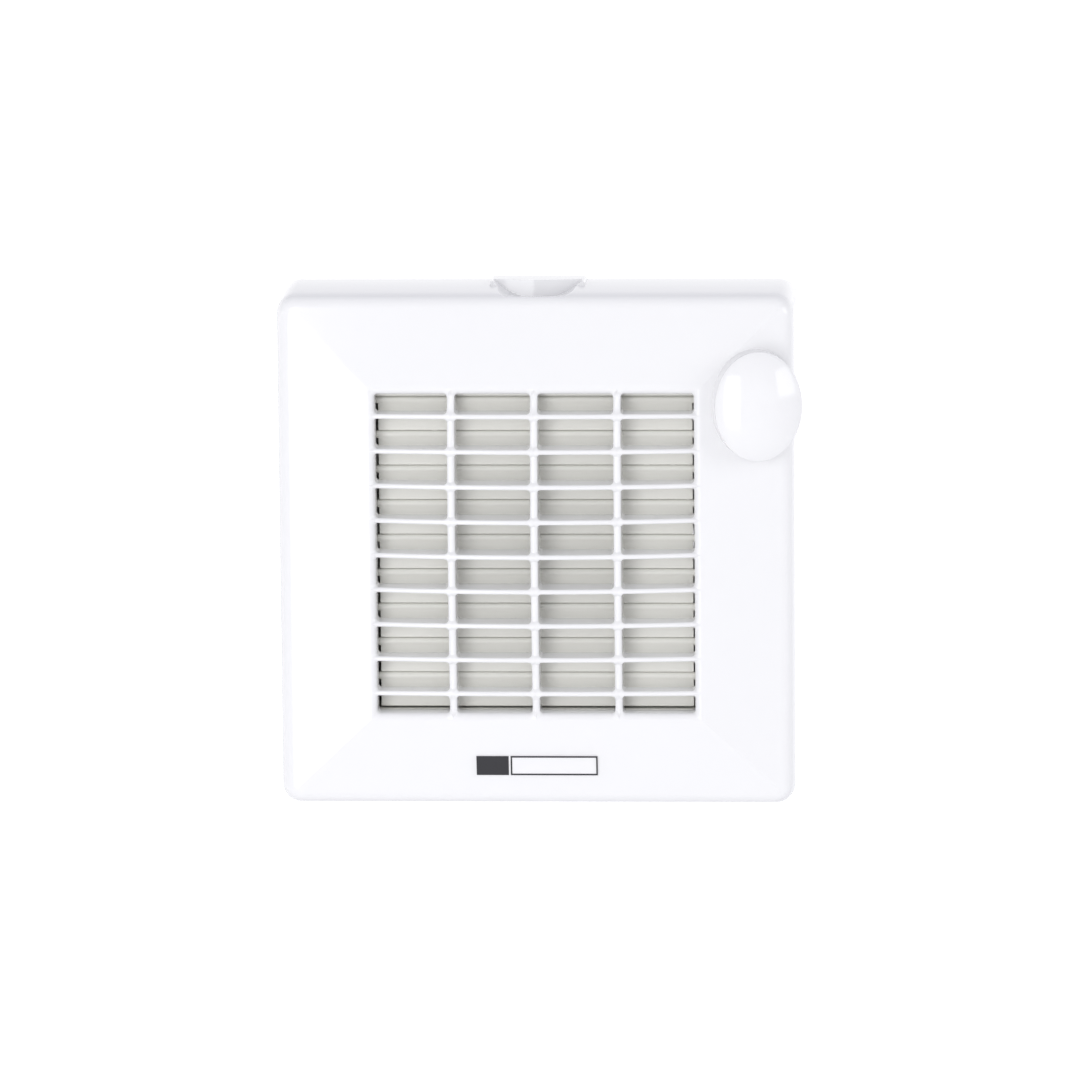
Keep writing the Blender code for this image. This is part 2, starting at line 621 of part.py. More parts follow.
def shutter_blades():
    """Nine alike blades: a plate under a barrel, end pins, and a crank at the left end."""
    work = bmesh.new()
    add_box(work, (-BLADE_HALF_X, -BLADE_THICK / 2, -BLADE_DROP), (BLADE_HALF_X, BLADE_THICK / 2, 0.0))
    pattern = part("shutter_pattern", work, SHUTTER_GREY)
    barrel = [((-BLADE_HALF_X - 0.0005, 0.0, 0.0), (BLADE_HALF_X + 0.0005, 0.0, 0.0))]
    pins = [((-0.0520, 0.0, 0.0), (0.0505, 0.0, 0.0))]
    crank_y = CRANK_RADIUS * math.cos(CRANK_REST)
    crank_z = CRANK_RADIUS * math.sin(CRANK_REST)
    work = bmesh.new()
    verts = add_box(work, (-0.0527, -0.0016, -0.0016), (-0.0511, CRANK_RADIUS + 0.0014, 0.0016))
    bmesh.ops.transform(work, matrix=Matrix.Rotation(CRANK_REST, 4, "X"), verts=verts)
    crank_pin = [((-0.0520, crank_y, crank_z), (-0.0550, crank_y, crank_z))]
    helpers = [rods("blade_barrel", barrel, BARREL_RADIUS, 10), rods("blade_pins", pins, PIN_RADIUS, 10),
               tool("blade_crank", work), rods("blade_crank_pin", crank_pin, CRANK_PIN_RADIUS, 10)]
    for helper in helpers:
        boolean(pattern, helper, "UNION")
    mesh = baked(pattern)
    for helper in helpers:
        bpy.data.objects.remove(helper, do_unlink=True)
    for number in range(BLADE_COUNT):
        z = BLADE_TOP_PIVOT_Z - number * SLAT_PITCH
        place(f"shutter_{number + 1}", mesh, PARTS, (0.0, -BLADE_PIVOT_OUT, z))


def link_bar():
    """Bar that joins the nine cranks, with the tab that the plunger lifts."""
    middle = BLADE_COUNT // 2
    pivot_z = BLADE_TOP_PIVOT_Z - middle * SLAT_PITCH + CRANK_RADIUS * math.sin(CRANK_REST)
    pivot_y = -BLADE_PIVOT_OUT + CRANK_RADIUS * math.cos(CRANK_REST)
    left = LINK_X - LINK_THICK / 2
    right = LINK_X + LINK_THICK / 2
    reach = middle * SLAT_PITCH + 0.0022
    work = bmesh.new()
    add_box(work, (left, -0.0021, -reach), (right, 0.0021, reach))
    bar = part("link_bar", work, NATURAL_NYLON, (0.0, pivot_y, pivot_z))
    tab = ((ACTUATOR_X - 0.0035, pivot_y - 0.0034, TAB_LOW_Z), (LINK_X, pivot_y + 0.0034, TAB_HIGH_Z))
    boolean(bar, boxes("link_tab", [tab]), "UNION")
    ways = []
    for number in range(-middle, middle + 1):
        z = pivot_z + number * SLAT_PITCH
        ways.append(((left - 0.001, pivot_y, z), (right + 0.001, pivot_y, z)))
    boolean(bar, rods("link_ways", ways, CRANK_PIN_RADIUS + 0.0003, 8), "DIFFERENCE")
    return bar


def actuator():
    """Wax actuator with its plunger, its sheet bracket and the bracket's screws."""
    work = bmesh.new()
    axis_y = -ACTUATOR_OUT
    low = (ACTUATOR_X, axis_y, ACTUATOR_LOW_Z)
    high = (ACTUATOR_X, axis_y, ACTUATOR_HIGH_Z)
    add_rod(work, low, high, ACTUATOR_RADIUS, 24)
    body = part("actuator_body", work, DARK_PLASTIC)
    bore = [((ACTUATOR_X, axis_y, ACTUATOR_HIGH_Z - 0.024), (ACTUATOR_X, axis_y, ACTUATOR_HIGH_Z + 0.001))]
    boolean(body, rods("actuator_bore", bore, PLUNGER_RADIUS + GAP, 16), "DIFFERENCE")
    work = bmesh.new()
    add_rod(work, (0.0, 0.0, 0.0), (0.0, 0.0, -0.0300), PLUNGER_RADIUS, 12)
    part("actuator_plunger", work, BRONZE, (ACTUATOR_X, axis_y, PLUNGER_TIP_Z))

    sheet = BRACKET_SHEET
    work = bmesh.new()
    low = (ACTUATOR_X - 0.0060, -BRACKET_BACK_OUT - sheet, -0.0485)
    high = (ACTUATOR_X + 0.0060, -BRACKET_BACK_OUT, 0.0305)
    add_box(work, low, high)
    bracket = part("actuator_bracket", work, ZINC_PLATE)
    shelves = []
    for low in (ACTUATOR_LOW_Z - GAP - sheet, ACTUATOR_HIGH_Z + GAP, SPRING_TOP_Z + GAP):
        shelf_low = (ACTUATOR_X - 0.0056, -0.0310, low)
        shelf_high = (ACTUATOR_X + 0.0056, -BRACKET_BACK_OUT - 0.0004, low + sheet)
        shelves.append((shelf_low, shelf_high))
    boolean(bracket, boxes("bracket_shelves", shelves), "UNION")
    way = [((ACTUATOR_X, axis_y, ACTUATOR_HIGH_Z - 0.001), (ACTUATOR_X, axis_y, ACTUATOR_HIGH_Z + 0.004))]
    boolean(bracket, rods("plunger_way", way, PLUNGER_RADIUS + 0.0006, 16), "DIFFERENCE")
    near = BRACKET_BACK_OUT - 0.001
    ways = out_rods("bracket_ways", BRACKET_POSTS, near, near + 0.004, 0.0016, 8)
    boolean(bracket, ways, "DIFFERENCE")
    seat = BRACKET_BACK_OUT + sheet + GAP
    for number, (x, z) in enumerate(BRACKET_POSTS, 1):
        screw(f"bracket_screw_{number}", x, z, seat, 0.0026, 0.0018, 0.0013, 0.0090)


def return_spring():
    """Compression spring between the link bar's tab and the bracket's upper shelf."""
    turns = 6
    steps_per_turn = 8
    radius = 0.0030
    wire = 0.00035
    low = TAB_HIGH_Z + GAP + wire
    high = SPRING_TOP_Z - wire
    count = turns * steps_per_turn
    curve = bpy.data.curves.new("return_spring", "CURVE")
    curve.dimensions = "3D"
    curve.bevel_depth = wire
    curve.bevel_resolution = 1
    curve.use_fill_caps = True
    spline = curve.splines.new("POLY")
    spline.points.add(count)
    for step, point in enumerate(spline.points):
        angle = 2.0 * math.pi * step / steps_per_turn
        height = low + (high - low) * step / count
        point.co = (radius * math.cos(angle), radius * math.sin(angle), height, 1.0)
    curve.materials.append(STEEL)
    return place("return_spring", curve, PARTS, (ACTUATOR_X, -ACTUATOR_OUT, 0.0))


# --------------------------------------------------------------------------- the cover


def cover_block(inset, back_y, rounding):
    """Solid block with the cover's side walls and hipped face, inset from its outside."""
    work = bmesh.new()
    bmesh.ops.create_cube(work, size=2.0)
    for vert in work.verts:
        at_wall = vert.co.y > 0.0
        half = (COVER_HALF_WALL if at_wall else COVER_HALF_EDGE) - inset
        y = back_y if at_wall else inset - COVER_EDGE_OUT
        vert.co = Vector((math.copysign(half, vert.co.x), y, math.copysign(half, vert.co.z)))
    work.normal_update()
    front = [face for face in work.faces if face.normal.y < -0.9]
    bmesh.ops.inset_region(work, faces=front, thickness=0.010, use_even_offset=True)
    for vert in front[0].verts:
        across = math.copysign(WINDOW_HALF_X, vert.co.x)
        up = WINDOW_HIGH_Z if vert.co.z > 0.0 else WINDOW_LOW_Z
        vert.co = Vector((across, inset - COVER_RIM_OUT, up))
    outer = []
    for edge in work.edges:
        ends = [vert.co for vert in edge.verts]
        on_outside = all(max(abs(co.x), abs(co.z)) > 0.070 for co in ends)
        if on_outside and any(co.y < -0.030 for co in ends):
            outer.append(edge)
    work.normal_update()
    bmesh.ops.bevel(work, geom=outer, offset=rounding, segments=3, profile=0.5, affect="EDGES")
    return work


def oval_rod(name, back, front, radius):
    """Make an oval helper of the corner boss, between two distances along its axis."""
    work = bmesh.new()
    add_rod(work, (0.0, 0.0, back), (0.0, 0.0, front), radius, 36)
    turn = Matrix.Rotation(DOME_TURN, 4, "Z") @ Matrix.Rotation(math.pi / 2, 4, "X")
    narrow = Matrix.Diagonal((DOME_NARROWING, 1.0, 1.0, 1.0))
    bmesh.ops.transform(work, matrix=Matrix.Translation(DOME_CENTRE) @ turn @ narrow, verts=work.verts)
    return tool(name, work)


def front_cover():
    """Cover shell with the corner boss, the finger grip and the four clip pegs."""
    cover = part("front_cover", cover_block(0.0, 0.0, COVER_CORNER), WHITE_ABS)
    hollow = tool("cover_hollow", cover_block(COVER_SHELL, 0.001, COVER_CORNER - COVER_SHELL))
    boolean(cover, hollow, "DIFFERENCE")
    lip_low = (-WINDOW_HALF_X - COVER_LIP, -0.0390, WINDOW_LOW_Z - COVER_LIP)
    lip_high = (WINDOW_HALF_X + COVER_LIP, -LIP_BACK_OUT, WINDOW_HIGH_Z + COVER_LIP)
    boolean(cover, boxes("window_lip", [(lip_low, lip_high)]), "UNION")
    window = ((-WINDOW_HALF_X, -0.042, WINDOW_LOW_Z), (WINDOW_HALF_X, -0.030, WINDOW_HIGH_Z))
    boolean(cover, boxes("window", [window]), "DIFFERENCE")
    boolean(cover, oval_rod("corner_boss", -BOSS_DEPTH, -DOME_SEAM - GAP, DOME_HALF_HEIGHT), "UNION")
    bore_radius = DOME_HALF_HEIGHT - 0.0022
    boolean(cover, oval_rod("corner_bore", -BOSS_DEPTH + 0.0020, 0.0020, bore_radius), "DIFFERENCE")
    boolean(cover, out_rods("cover_pegs", PEGS, 0.0060, 0.0345, 0.0020, 12), "UNION")
    pad_top = COVER_HALF_WALL + GRIP_PAD_RISE
    pad = ((-GRIP_WIDTH / 2, -GRIP_PAD_DEPTH, 0.0780), (GRIP_WIDTH / 2, -0.0002, pad_top))
    under = ((-0.0165, -0.0305, 0.0743), (0.0165, -BASE_RIM_OUT - 0.0006, 0.0770))
    boolean(cover, boxes("grip_under", [under]), "UNION")
    boolean(cover, boxes("grip_pad", [pad]), "UNION")
    back_y = -GRIP_PAD_DEPTH + 0.0015
    slope = (GRIP_FLOOR_EDGE - GRIP_FLOOR_BACK) / (COVER_EDGE_OUT - GRIP_PAD_DEPTH)
    start = (0.0, back_y, GRIP_FLOOR_BACK + GRIP_RADIUS - slope * 0.0015)
    end = (0.0, -0.046, GRIP_FLOOR_BACK + GRIP_RADIUS + slope * (0.046 - GRIP_PAD_DEPTH))
    boolean(cover, rods("grip_scoop", [(start, end)], GRIP_RADIUS, 64), "DIFFERENCE")
    return cover


def corner_dome():
    """Domed cap that plugs into the corner boss."""
    rim = DOME_HALF_HEIGHT
    crown = [(rim * math.sin(angle), DOME_CROWN * math.cos(angle) ** 0.8)
             for angle in (math.radians(step) for step in (0, 25, 45, 62, 78))]
    profile = crown + [(rim, 0.0), (rim, -DOME_SEAM)]
    profile += [(rim - 0.0029, -DOME_SEAM), (rim - 0.0029, -0.0035), (rim - 0.0045, -0.0035)]
    profile += [(rim - 0.0055, 0.0004), (rim * 0.4, 0.0026), (0.0, 0.0030)]
    turn = (math.pi / 2, 0.0, DOME_TURN)
    cap = turned("corner_dome", profile, WHITE_ABS, DOME_CENTRE, turn, steps=28, closed=False)
    cap.scale = (DOME_NARROWING, 1.0, 1.0)
    return cap


def crown_out(x, z):
    """Distance out of the grille's crowned front at a point of the window."""
    across = 1.0 - (x / 0.050) ** 2
    up = 1.0 - (z / 0.056) ** 2
    return COVER_RIM_OUT + GRILLE_CROWN * across * up


def crowned_bars(name, corners, cuts, set_back):
    """Make a helper of bars whose fronts follow the grille's crown, set back from it."""
    work = bmesh.new()
    for low, high in corners:
        add_box(work, low, high)
    long_edges = [edge for edge in work.edges if edge.calc_length() > 0.02]
    bmesh.ops.subdivide_edges(work, edges=long_edges, cuts=cuts, use_grid_fill=True)
    for vert in work.verts:
        if vert.co.y < -0.0350:
            vert.co.y = -(crown_out(vert.co.x, vert.co.z) - set_back)
    return tool(name, work)


def front_grille():
    """Grille panel: a thin surround, nine crowned slats and three uprights behind them."""
    work = bmesh.new()
    outer_low = (-WINDOW_HALF_X + GAP, -0.0392, WINDOW_LOW_Z + GAP)
    outer_high = (WINDOW_HALF_X - GAP, -0.0338, WINDOW_HIGH_Z - GAP)
    add_box(work, outer_low, outer_high)
    grille = part("front_grille", work, WHITE_ABS)
    rim = 0.0010
    inner_low = (outer_low[0] + rim, -0.041, outer_low[2] + rim)
    inner_high = (outer_high[0] - rim, -0.032, outer_high[2] - rim)
    boolean(grille, boxes("grille_opening", [(inner_low, inner_high)]), "DIFFERENCE")
    reach = WINDOW_HALF_X - 0.0009
    slats = []
    for number in range(SLAT_COUNT):
        z = (SLAT_COUNT // 2 - number) * SLAT_PITCH + SLAT_SHIFT_Z
        slats.append(((-reach, -0.036, z - SLAT_HALF), (reach, -SLAT_BACK_OUT, z + SLAT_HALF)))
    boolean(grille, crowned_bars("grille_slats", slats, 5, 0.0), "UNION")
    uprights = []
    for x in (-UPRIGHT_PITCH, 0.0, UPRIGHT_PITCH):
        low = (x - UPRIGHT_HALF, -0.036, WINDOW_LOW_Z + 0.0009)
        high = (x + UPRIGHT_HALF, -SLAT_BACK_OUT - 0.0002, WINDOW_HIGH_Z - 0.0009)
        uprights.append((low, high))
    boolean(grille, crowned_bars("grille_uprights", uprights, 5, 0.0012), "UNION")
    return grille


def badge():
    """Plain name plate without any lettering, on the lower slope of the cover."""
    rise = COVER_RIM_OUT - COVER_EDGE_OUT
    run = COVER_HALF_EDGE + WINDOW_LOW_Z
    slope = math.atan2(rise, run)
    z = -0.0660
    surface_out = COVER_EDGE_OUT + (COVER_HALF_EDGE + z) * math.tan(slope)
    normal = Vector((0.0, -math.cos(slope), -math.sin(slope)))
    work = bmesh.new()
    add_box(work, (-0.0186, -0.0003, -0.00315), (0.0186, 0.0003, 0.00315))
    plate = part("badge", work, BADGE_BLACK, Vector((0.0, -surface_out, z)) + normal * 0.0005)
    plate.rotation_euler = (slope, 0.0, 0.0)
    return plate


clear_scene()
PARTS = new_collection("bathroom_extractor_fan")
CUTTERS = new_collection("cutters")
WHITE_ABS = plain_material("white_abs", (0.90, 0.90, 0.91), 0.28)
GREY_WHITE = plain_material("grey_white_abs", (0.80, 0.80, 0.79), 0.40)
SHUTTER_GREY = plain_material("shutter_grey", (0.62, 0.62, 0.58), 0.45)
GREY_PLASTIC = plain_material("grey_plastic", (0.45, 0.46, 0.47), 0.45)
DARK_PLASTIC = plain_material("dark_plastic", (0.05, 0.05, 0.05), 0.45)
NATURAL_NYLON = plain_material("natural_nylon", (0.78, 0.75, 0.66), 0.50)
BADGE_BLACK = plain_material("badge_black", (0.02, 0.02, 0.02), 0.35)
RUBBER = plain_material("black_rubber", (0.03, 0.03, 0.03), 0.70)
STEEL = plain_material("zinc_steel", (0.62, 0.62, 0.62), 0.30, 1.0)
ZINC_PLATE = plain_material("zinc_sheet", (0.58, 0.60, 0.61), 0.40, 1.0)
CAST_ALLOY = plain_material("cast_alloy", (0.66, 0.66, 0.66), 0.50, 1.0)
LAMINATION = plain_material("lamination_steel", (0.24, 0.24, 0.25), 0.45, 1.0)
COPPER = plain_material("copper", (0.60, 0.27, 0.13), 0.35, 1.0)
BRONZE = plain_material("bronze", (0.55, 0.42, 0.22), 0.40, 1.0)

base_plate()
duct_spigot()
base_fasteners()
terminal_block()
cord_clamp()
cable_grommet()
stator_core()
shading_rings()
coil()
bearing_bracket("front_bearing_bracket", 0.0110, 0.0130, STACK_FRONT - GAP, 0.0095, 0.0172)
bearing_bracket("rear_bearing_bracket", 0.0430, 0.0410, STACK_BACK + GAP, 0.0368, 0.0446)
bearing("front_bearing", 0.0134)
bearing("rear_bearing", 0.0407)
motor_bolts()
motor_spider()
rotor()
impeller()
shutter_frame()
shutter_blades()
link_bar()
actuator()
return_spring()
front_cover()
corner_dome()
front_grille()
badge()
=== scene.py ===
"""Looks of a bathroom extractor fan with a slatted cover, laid out as a Blender add-on."""
import json
import math

import bmesh
import bpy
from bpy.props import FloatProperty, FloatVectorProperty, IntProperty, PointerProperty
from mathutils import Matrix, Vector


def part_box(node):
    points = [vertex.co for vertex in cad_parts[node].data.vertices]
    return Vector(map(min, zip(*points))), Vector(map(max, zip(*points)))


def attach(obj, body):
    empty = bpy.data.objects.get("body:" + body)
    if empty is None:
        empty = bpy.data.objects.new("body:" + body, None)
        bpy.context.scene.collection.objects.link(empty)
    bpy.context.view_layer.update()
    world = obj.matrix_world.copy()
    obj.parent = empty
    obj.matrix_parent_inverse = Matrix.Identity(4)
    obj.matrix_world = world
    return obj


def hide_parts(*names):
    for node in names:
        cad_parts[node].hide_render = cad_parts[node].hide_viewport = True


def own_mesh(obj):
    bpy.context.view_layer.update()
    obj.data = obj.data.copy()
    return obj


bl_info = {
    "name": "Bathroom extractor fan",
    "version": (1, 0, 0),
    "blender": (4, 5, 0),
    "location": "View3D > Sidebar > Extractor fan",
    "description": "Builds the finished pieces of a wall extractor fan around its packed frame",
    "category": "Object",
}

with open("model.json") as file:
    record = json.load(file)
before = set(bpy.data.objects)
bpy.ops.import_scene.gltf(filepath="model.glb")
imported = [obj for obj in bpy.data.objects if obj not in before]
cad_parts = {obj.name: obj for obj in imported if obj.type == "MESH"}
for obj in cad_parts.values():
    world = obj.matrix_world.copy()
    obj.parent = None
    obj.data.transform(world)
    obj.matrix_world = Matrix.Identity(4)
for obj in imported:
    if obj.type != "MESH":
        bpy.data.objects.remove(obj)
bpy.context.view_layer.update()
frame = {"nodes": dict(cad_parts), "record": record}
ORIGIN = (0.0, 0.0, 0.0)
RIGHT = (1.0, 0.0, 0.0)
OUT = (0.0, -1.0, 0.0)
UP = (0.0, 0.0, 1.0)


def around(radius, degrees):
    """Return the x and z of a point on a circle about the duct axis."""
    angle = math.radians(degrees)
    return radius * math.cos(angle), radius * math.sin(angle)


def smooth_step(value):
    """Ease from 0 to 1 with level ends."""
    value = min(max(value, 0.0), 1.0)
    return value * value * (3.0 - 2.0 * value)


# ------------------------------------------------------------------------------ settings


def length(name, default, description):
    """Return a setting for a length in metres."""
    return FloatProperty(name=name, default=default, unit="LENGTH", description=description)


def angle(name, degrees, description):
    """Return a setting for an angle."""
    return FloatProperty(name=name, default=math.radians(degrees), subtype="ANGLE", description=description)


def tint(name, default, description):
    """Return a setting for a colour."""
    return FloatVectorProperty(name=name, default=default, subtype="COLOR", description=description)


class FanCoverSettings(bpy.types.PropertyGroup):
    """Sizes of the cover moulding and its grille."""

    half_wall: length("Half width at wall", 0.0795, "Half the width of the cover where it meets the wall")
    half_edge: length("Half width at edge", 0.0785, "Half the width of the cover at its front edge")
    edge_out: length("Edge distance", 0.034, "Distance of the front edge from the wall")
    rim_out: length("Rim distance", 0.04, "Distance of the window's rim from the wall")
    bow: length("Side bow", 0.00035, "How far the side walls bow outward")
    shell: length("Wall thickness", 0.0022, "Thickness of the moulding")
    corner: length("Corner radius", 0.0058, "Radius of the four corners seen from the room")
    edge_radius: length("Edge radius", 0.004, "Rounding between the side walls and the sloping face")
    window_x: length("Window half width", 0.0507, "Half the width of the window's rim")
    window_low: length("Window bottom", -0.0514, "Height of the window's lower rim")
    window_high: length("Window top", 0.0512, "Height of the window's upper rim")
    window_round: length("Rim rounding", 0.002, "Rounding of the rim into the window")
    back_out: length("Grille back", 0.0335, "Distance of the back of the slats from the wall")
    slats: IntProperty(name="Slats", default=9, description="Number of slats")
    pitch: length("Slat pitch", 0.0107, "Distance between slats")
    slat_shift: length("Slat shift", -0.0003, "Height of the middle slat")
    slat_half: length("Slat half thickness", 0.00075, "Half the thickness of a slat")
    upright_pitch: length("Upright pitch", 0.02535, "Distance between the uprights")
    upright_half: length("Upright half width", 0.00115, "Half the width of an upright")
    upright_back: length("Upright set-back", 0.0012, "How far the uprights lie behind the slats' fronts")
    crown: length("Grille crown", 0.005, "How far the middle of the grille stands out")


class FanDomeSettings(bpy.types.PropertyGroup):
    """Sizes of the corner boss and its cap."""

    centre: FloatVectorProperty(name="Centre", default=(0.0686, -0.0425, 0.0458), subtype="XYZ",
                                description="Middle of the cap's rim")
    turn: angle("Turn", 11.9, "Turn of the boss to the right")
    half_height: length("Half height", 0.0168, "Half the height of the oval")
    narrowing: FloatProperty(name="Narrowing", default=0.8, description="Width of the oval over its height")
    crown: length("Crown", 0.0046, "Rise of the cap above its rim")
    depth: length("Boss depth", 0.0083, "Depth of the boss below the rim")


class FanShutterSettings(bpy.types.PropertyGroup):
    """Sizes of the shutter blades."""

    blades: IntProperty(name="Blades", default=9, description="Number of blades")
    pitch: length("Blade pitch", 0.0107, "Distance between the blades' pins")
    top_pin: length("Top pin", 0.0464, "Height of the top blade's pin")
    pin_out: length("Pin distance", 0.0307, "Distance of the pins from the wall")
    drop: length("Blade drop", 0.0094, "Height of a blade below its pin")
    half: length("Blade half length", 0.048, "Half the length of a blade")


class FanFinishSettings(bpy.types.PropertyGroup):
    """Colours of the finishes."""

    white: tint("White moulding", (0.815, 0.815, 0.823), "Colour of the cover")
    tray: tint("Tray moulding", (0.8, 0.8, 0.79), "Colour of the tray and the spigot")
    shutter: tint("Shutter moulding", (0.8, 0.795, 0.745), "Colour of the shutter blades")
    impeller: tint("Impeller moulding", (0.42, 0.43, 0.44), "Colour of the impeller")
    nylon: tint("Nylon", (0.74, 0.71, 0.62), "Colour of the bobbin, link bar and terminal block")
    copper: tint("Copper", (0.72, 0.3, 0.13), "Colour of the winding")


class FanStageSettings(bpy.types.PropertyGroup):
    """Camera of the stage."""

    azimuth: angle("Azimuth", 3.3, "Camera angle round the fan")
    elevation: angle("Elevation", 9.2, "Camera angle above the horizon")
    roll: angle("Roll", -0.5, "Turn of the camera about its view")
    distance: length("Distance", 2.6, "Distance of the camera")
    lens: FloatProperty(name="Lens", default=282.0, description="Focal length in millimetres")
    target: FloatVectorProperty(name="Target", default=(0.0005, -0.02, 0.0012), subtype="XYZ",
                                description="Point that the camera looks at")


# ------------------------------------------------------------------------------- finishes


class Value:
    """A shader value that takes part in Python expressions."""

    def __init__(self, nodes, socket):
        self.nodes = nodes
        self.socket = socket

    def combine(self, operation, first, second):
        """Add a Math node for two values."""
        return self.nodes.add("ShaderNodeMath", {"operation": operation}, {0: first, 1: second})

    def __add__(self, other):
        return self.combine("ADD", self, other)

    def __mul__(self, other):
        return self.combine("MULTIPLY", self, other)

    def __sub__(self, other):
        return self.combine("SUBTRACT", self, other)

    def __rsub__(self, other):
        return self.combine("SUBTRACT", other, self)

    __radd__ = __add__
    __rmul__ = __mul__


class Nodes:
    """A node tree that is built up node by node."""

    def __init__(self, tree):
        self.tree = tree

    def add(self, kind, settings, inputs, output=0):
        """Add a node, set it up, feed its sockets and return one output."""
        node = self.tree.nodes.new(kind)
        for name, value in settings.items():
            if name == "stops":
                self.set_stops(node.color_ramp.elements, value)
            else:
                setattr(node, name, value)
        for key, value in inputs.items():
            self.feed(node.inputs[key], value)
        return Value(self, node.outputs[output])

    @staticmethod
    def set_stops(elements, stops):
        """Give a ramp its stops, each a position with a grey level or a colour."""
        while len(elements) > 1:
            elements.remove(elements[-1])
        for number, (position, level) in enumerate(stops):
            stop = elements.new(position) if number else elements[0]
            stop.position = position
            stop.color = (*(level if isinstance(level, tuple) else (level, level, level)), 1.0)

    def feed(self, socket, value):
        """Link a value to a socket, or set the socket."""
        if isinstance(value, Value):
            self.tree.links.new(value.socket, socket)
        elif isinstance(value, tuple) and len(value) == 3 and socket.type == "RGBA":
            socket.default_value = (*value, 1.0)
        else:
            socket.default_value = value

    def shade(self, factor, first, second, blend="MIX"):
        """Mix two colours."""
        settings = {"data_type": "RGBA", "blend_type": blend}
        return self.add("ShaderNodeMix", settings, {0: factor, 6: first, 7: second}, 2)

    def ramp(self, value, *stops):
        """Remap a value through a ramp."""
        return self.add("ShaderNodeValToRGB", {"stops": stops}, {"Fac": value})

    def along(self, place, axis):
        """Return one coordinate of a place."""
        return self.add("ShaderNodeSeparateXYZ", {}, {0: place}, axis)


class Finish(Nodes):
    """A material that is built up node by node."""

    def __init__(self, name, roughness, metallic=0.0):
        self.material = bpy.data.materials.new(name)
        self.material.use_nodes = True
        super().__init__(self.material.node_tree)
        self.shader = self.tree.nodes["Principled BSDF"]
        self.surface("Roughness", roughness)
        self.surface("Metallic", metallic)
        self.place = self.add("ShaderNodeTexCoord", {}, {}, "Object")

    def surface(self, name, value):
        """Feed one input of the surface."""
        self.feed(self.shader.inputs[name], value)

    def noise(self, scale, detail=2.0, roughness=0.5, stretch=(1.0, 1.0, 1.0)):
        """Add noise with about scale features to a metre."""
        place = self.add("ShaderNodeMapping", {}, {"Vector": self.place, "Scale": stretch})
        inputs = {"Vector": place, "Scale": scale, "Detail": detail, "Roughness": roughness}
        return self.add("ShaderNodeTexNoise", {}, inputs, "Fac")

    def finished(self, colour, roughness, height, distance, strength=1.0):
        """Set the colour, the roughness and a bump of a distance in metres, and return the material."""
        self.surface("Base Color", colour)
        self.surface("Roughness", roughness)
        inputs = {"Height": height, "Distance": distance, "Strength": strength}
        self.surface("Normal", self.add("ShaderNodeBump", {}, inputs))
        return self.material


def tinted(colour, amount):
    """Return a colour made lighter or darker by a share."""
    return tuple(min(channel * (1.0 + amount), 1.0) for channel in colour)


def gloss_moulding(name, colour, roughness):
    """Polished moulding: faint flow marks, slight waviness and fine dust."""
    finish = Finish(name, roughness)
    flow = finish.noise(28.0, 3.0, 0.5, (1.0, 1.0, 0.35))
    speck = finish.ramp(finish.noise(2600.0, 1.0), (0.0, 0.0), (0.76, 0.0), (0.8, 1.0))
    body = finish.shade(flow, tinted(colour, -0.006), tinted(colour, 0.006))
    rough = roughness + 0.05 * finish.noise(90.0, 2.0) - 0.025 + 0.1 * speck
    wave = 0.8 * finish.noise(260.0, 2.0) + 0.2 * finish.noise(2200.0, 1.0)
    return finish.finished(finish.shade(speck * 0.05, body, tinted(colour, -0.25)), rough, wave, 0.00001, 0.5)


def satin_moulding(name, colour, roughness, grain=1500.0, depth=0.00003, mottle=0.02):
    """Spark-textured moulding: even fine grain and slightly uneven colour."""
    finish = Finish(name, roughness)
    fine = finish.noise(grain, 2.0, 0.6)
    body = finish.shade(finish.noise(45.0, 3.0), tinted(colour, -mottle), tinted(colour, mottle))
    skin = finish.shade(fine * 0.25, body, tinted(colour, -0.1))
    return finish.finished(skin, roughness + 0.1 * fine - 0.05, fine, depth)


def plated_metal(name, colour, roughness, brush=(1.0, 1.0, 1.0)):
    """Plated or machined metal: drawn lines, cloudy patches and a few dull spots."""
    finish = Finish(name, roughness, 1.0)
    lines = finish.noise(700.0, 4.0, 0.6, brush)
    cloud = finish.noise(120.0, 3.0)
    body = finish.shade(cloud, tinted(colour, -0.1), tinted(colour, 0.08))
    skin = finish.shade(lines * 0.35, body, tinted(colour, -0.2))
    return finish.finished(skin, roughness + 0.18 * cloud - 0.09 + 0.1 * lines, lines, 0.00002, 0.5)


def cast_metal(name, colour, roughness):
    """Die-cast metal: pebbled skin whose hollows are darkened with painted shade."""
    finish = Finish(name, roughness, 0.9)
    pebble = finish.noise(900.0, 3.0, 0.6)
    # The colour darkens where the bump is low: painted shade in the pebbles' hollows.
    body = finish.shade(pebble, tinted(colour, -0.22), tinted(colour, 0.1))
    return finish.finished(body, roughness + 0.2 * pebble - 0.1, pebble, 0.00006)


def laminations(name, colour):
    """Stack of thin steel sheets: fine lines across the duct axis with a rusty tint."""
    finish = Finish(name, 0.45, 1.0)
    wave = {"wave_type": "BANDS", "bands_direction": "Y", "wave_profile": "TRI"}
    inputs = {"Vector": finish.place, "Scale": 320.0, "Distortion": 0.0}
    sheet = finish.add("ShaderNodeTexWave", wave, inputs, "Fac")
    cloud = finish.ramp(finish.noise(160.0, 4.0, 0.6), (0.35, 0.0), (0.75, 1.0))
    body = finish.shade(sheet, tinted(colour, -0.35), tinted(colour, 0.15))
    return finish.finished(finish.shade(cloud * 0.22, body, RUST), 0.36 + 0.22 * cloud, sheet, 0.00008)


def moulded_rubber(name, colour):
    """Soft rubber: matt with a fine bloom."""
    finish = Finish(name, 0.7)
    bloom = finish.noise(400.0, 4.0, 0.65)
    return finish.finished(finish.shade(bloom, colour, tinted(colour, 1.2)), 0.62 + 0.2 * bloom, bloom, 0.00003)


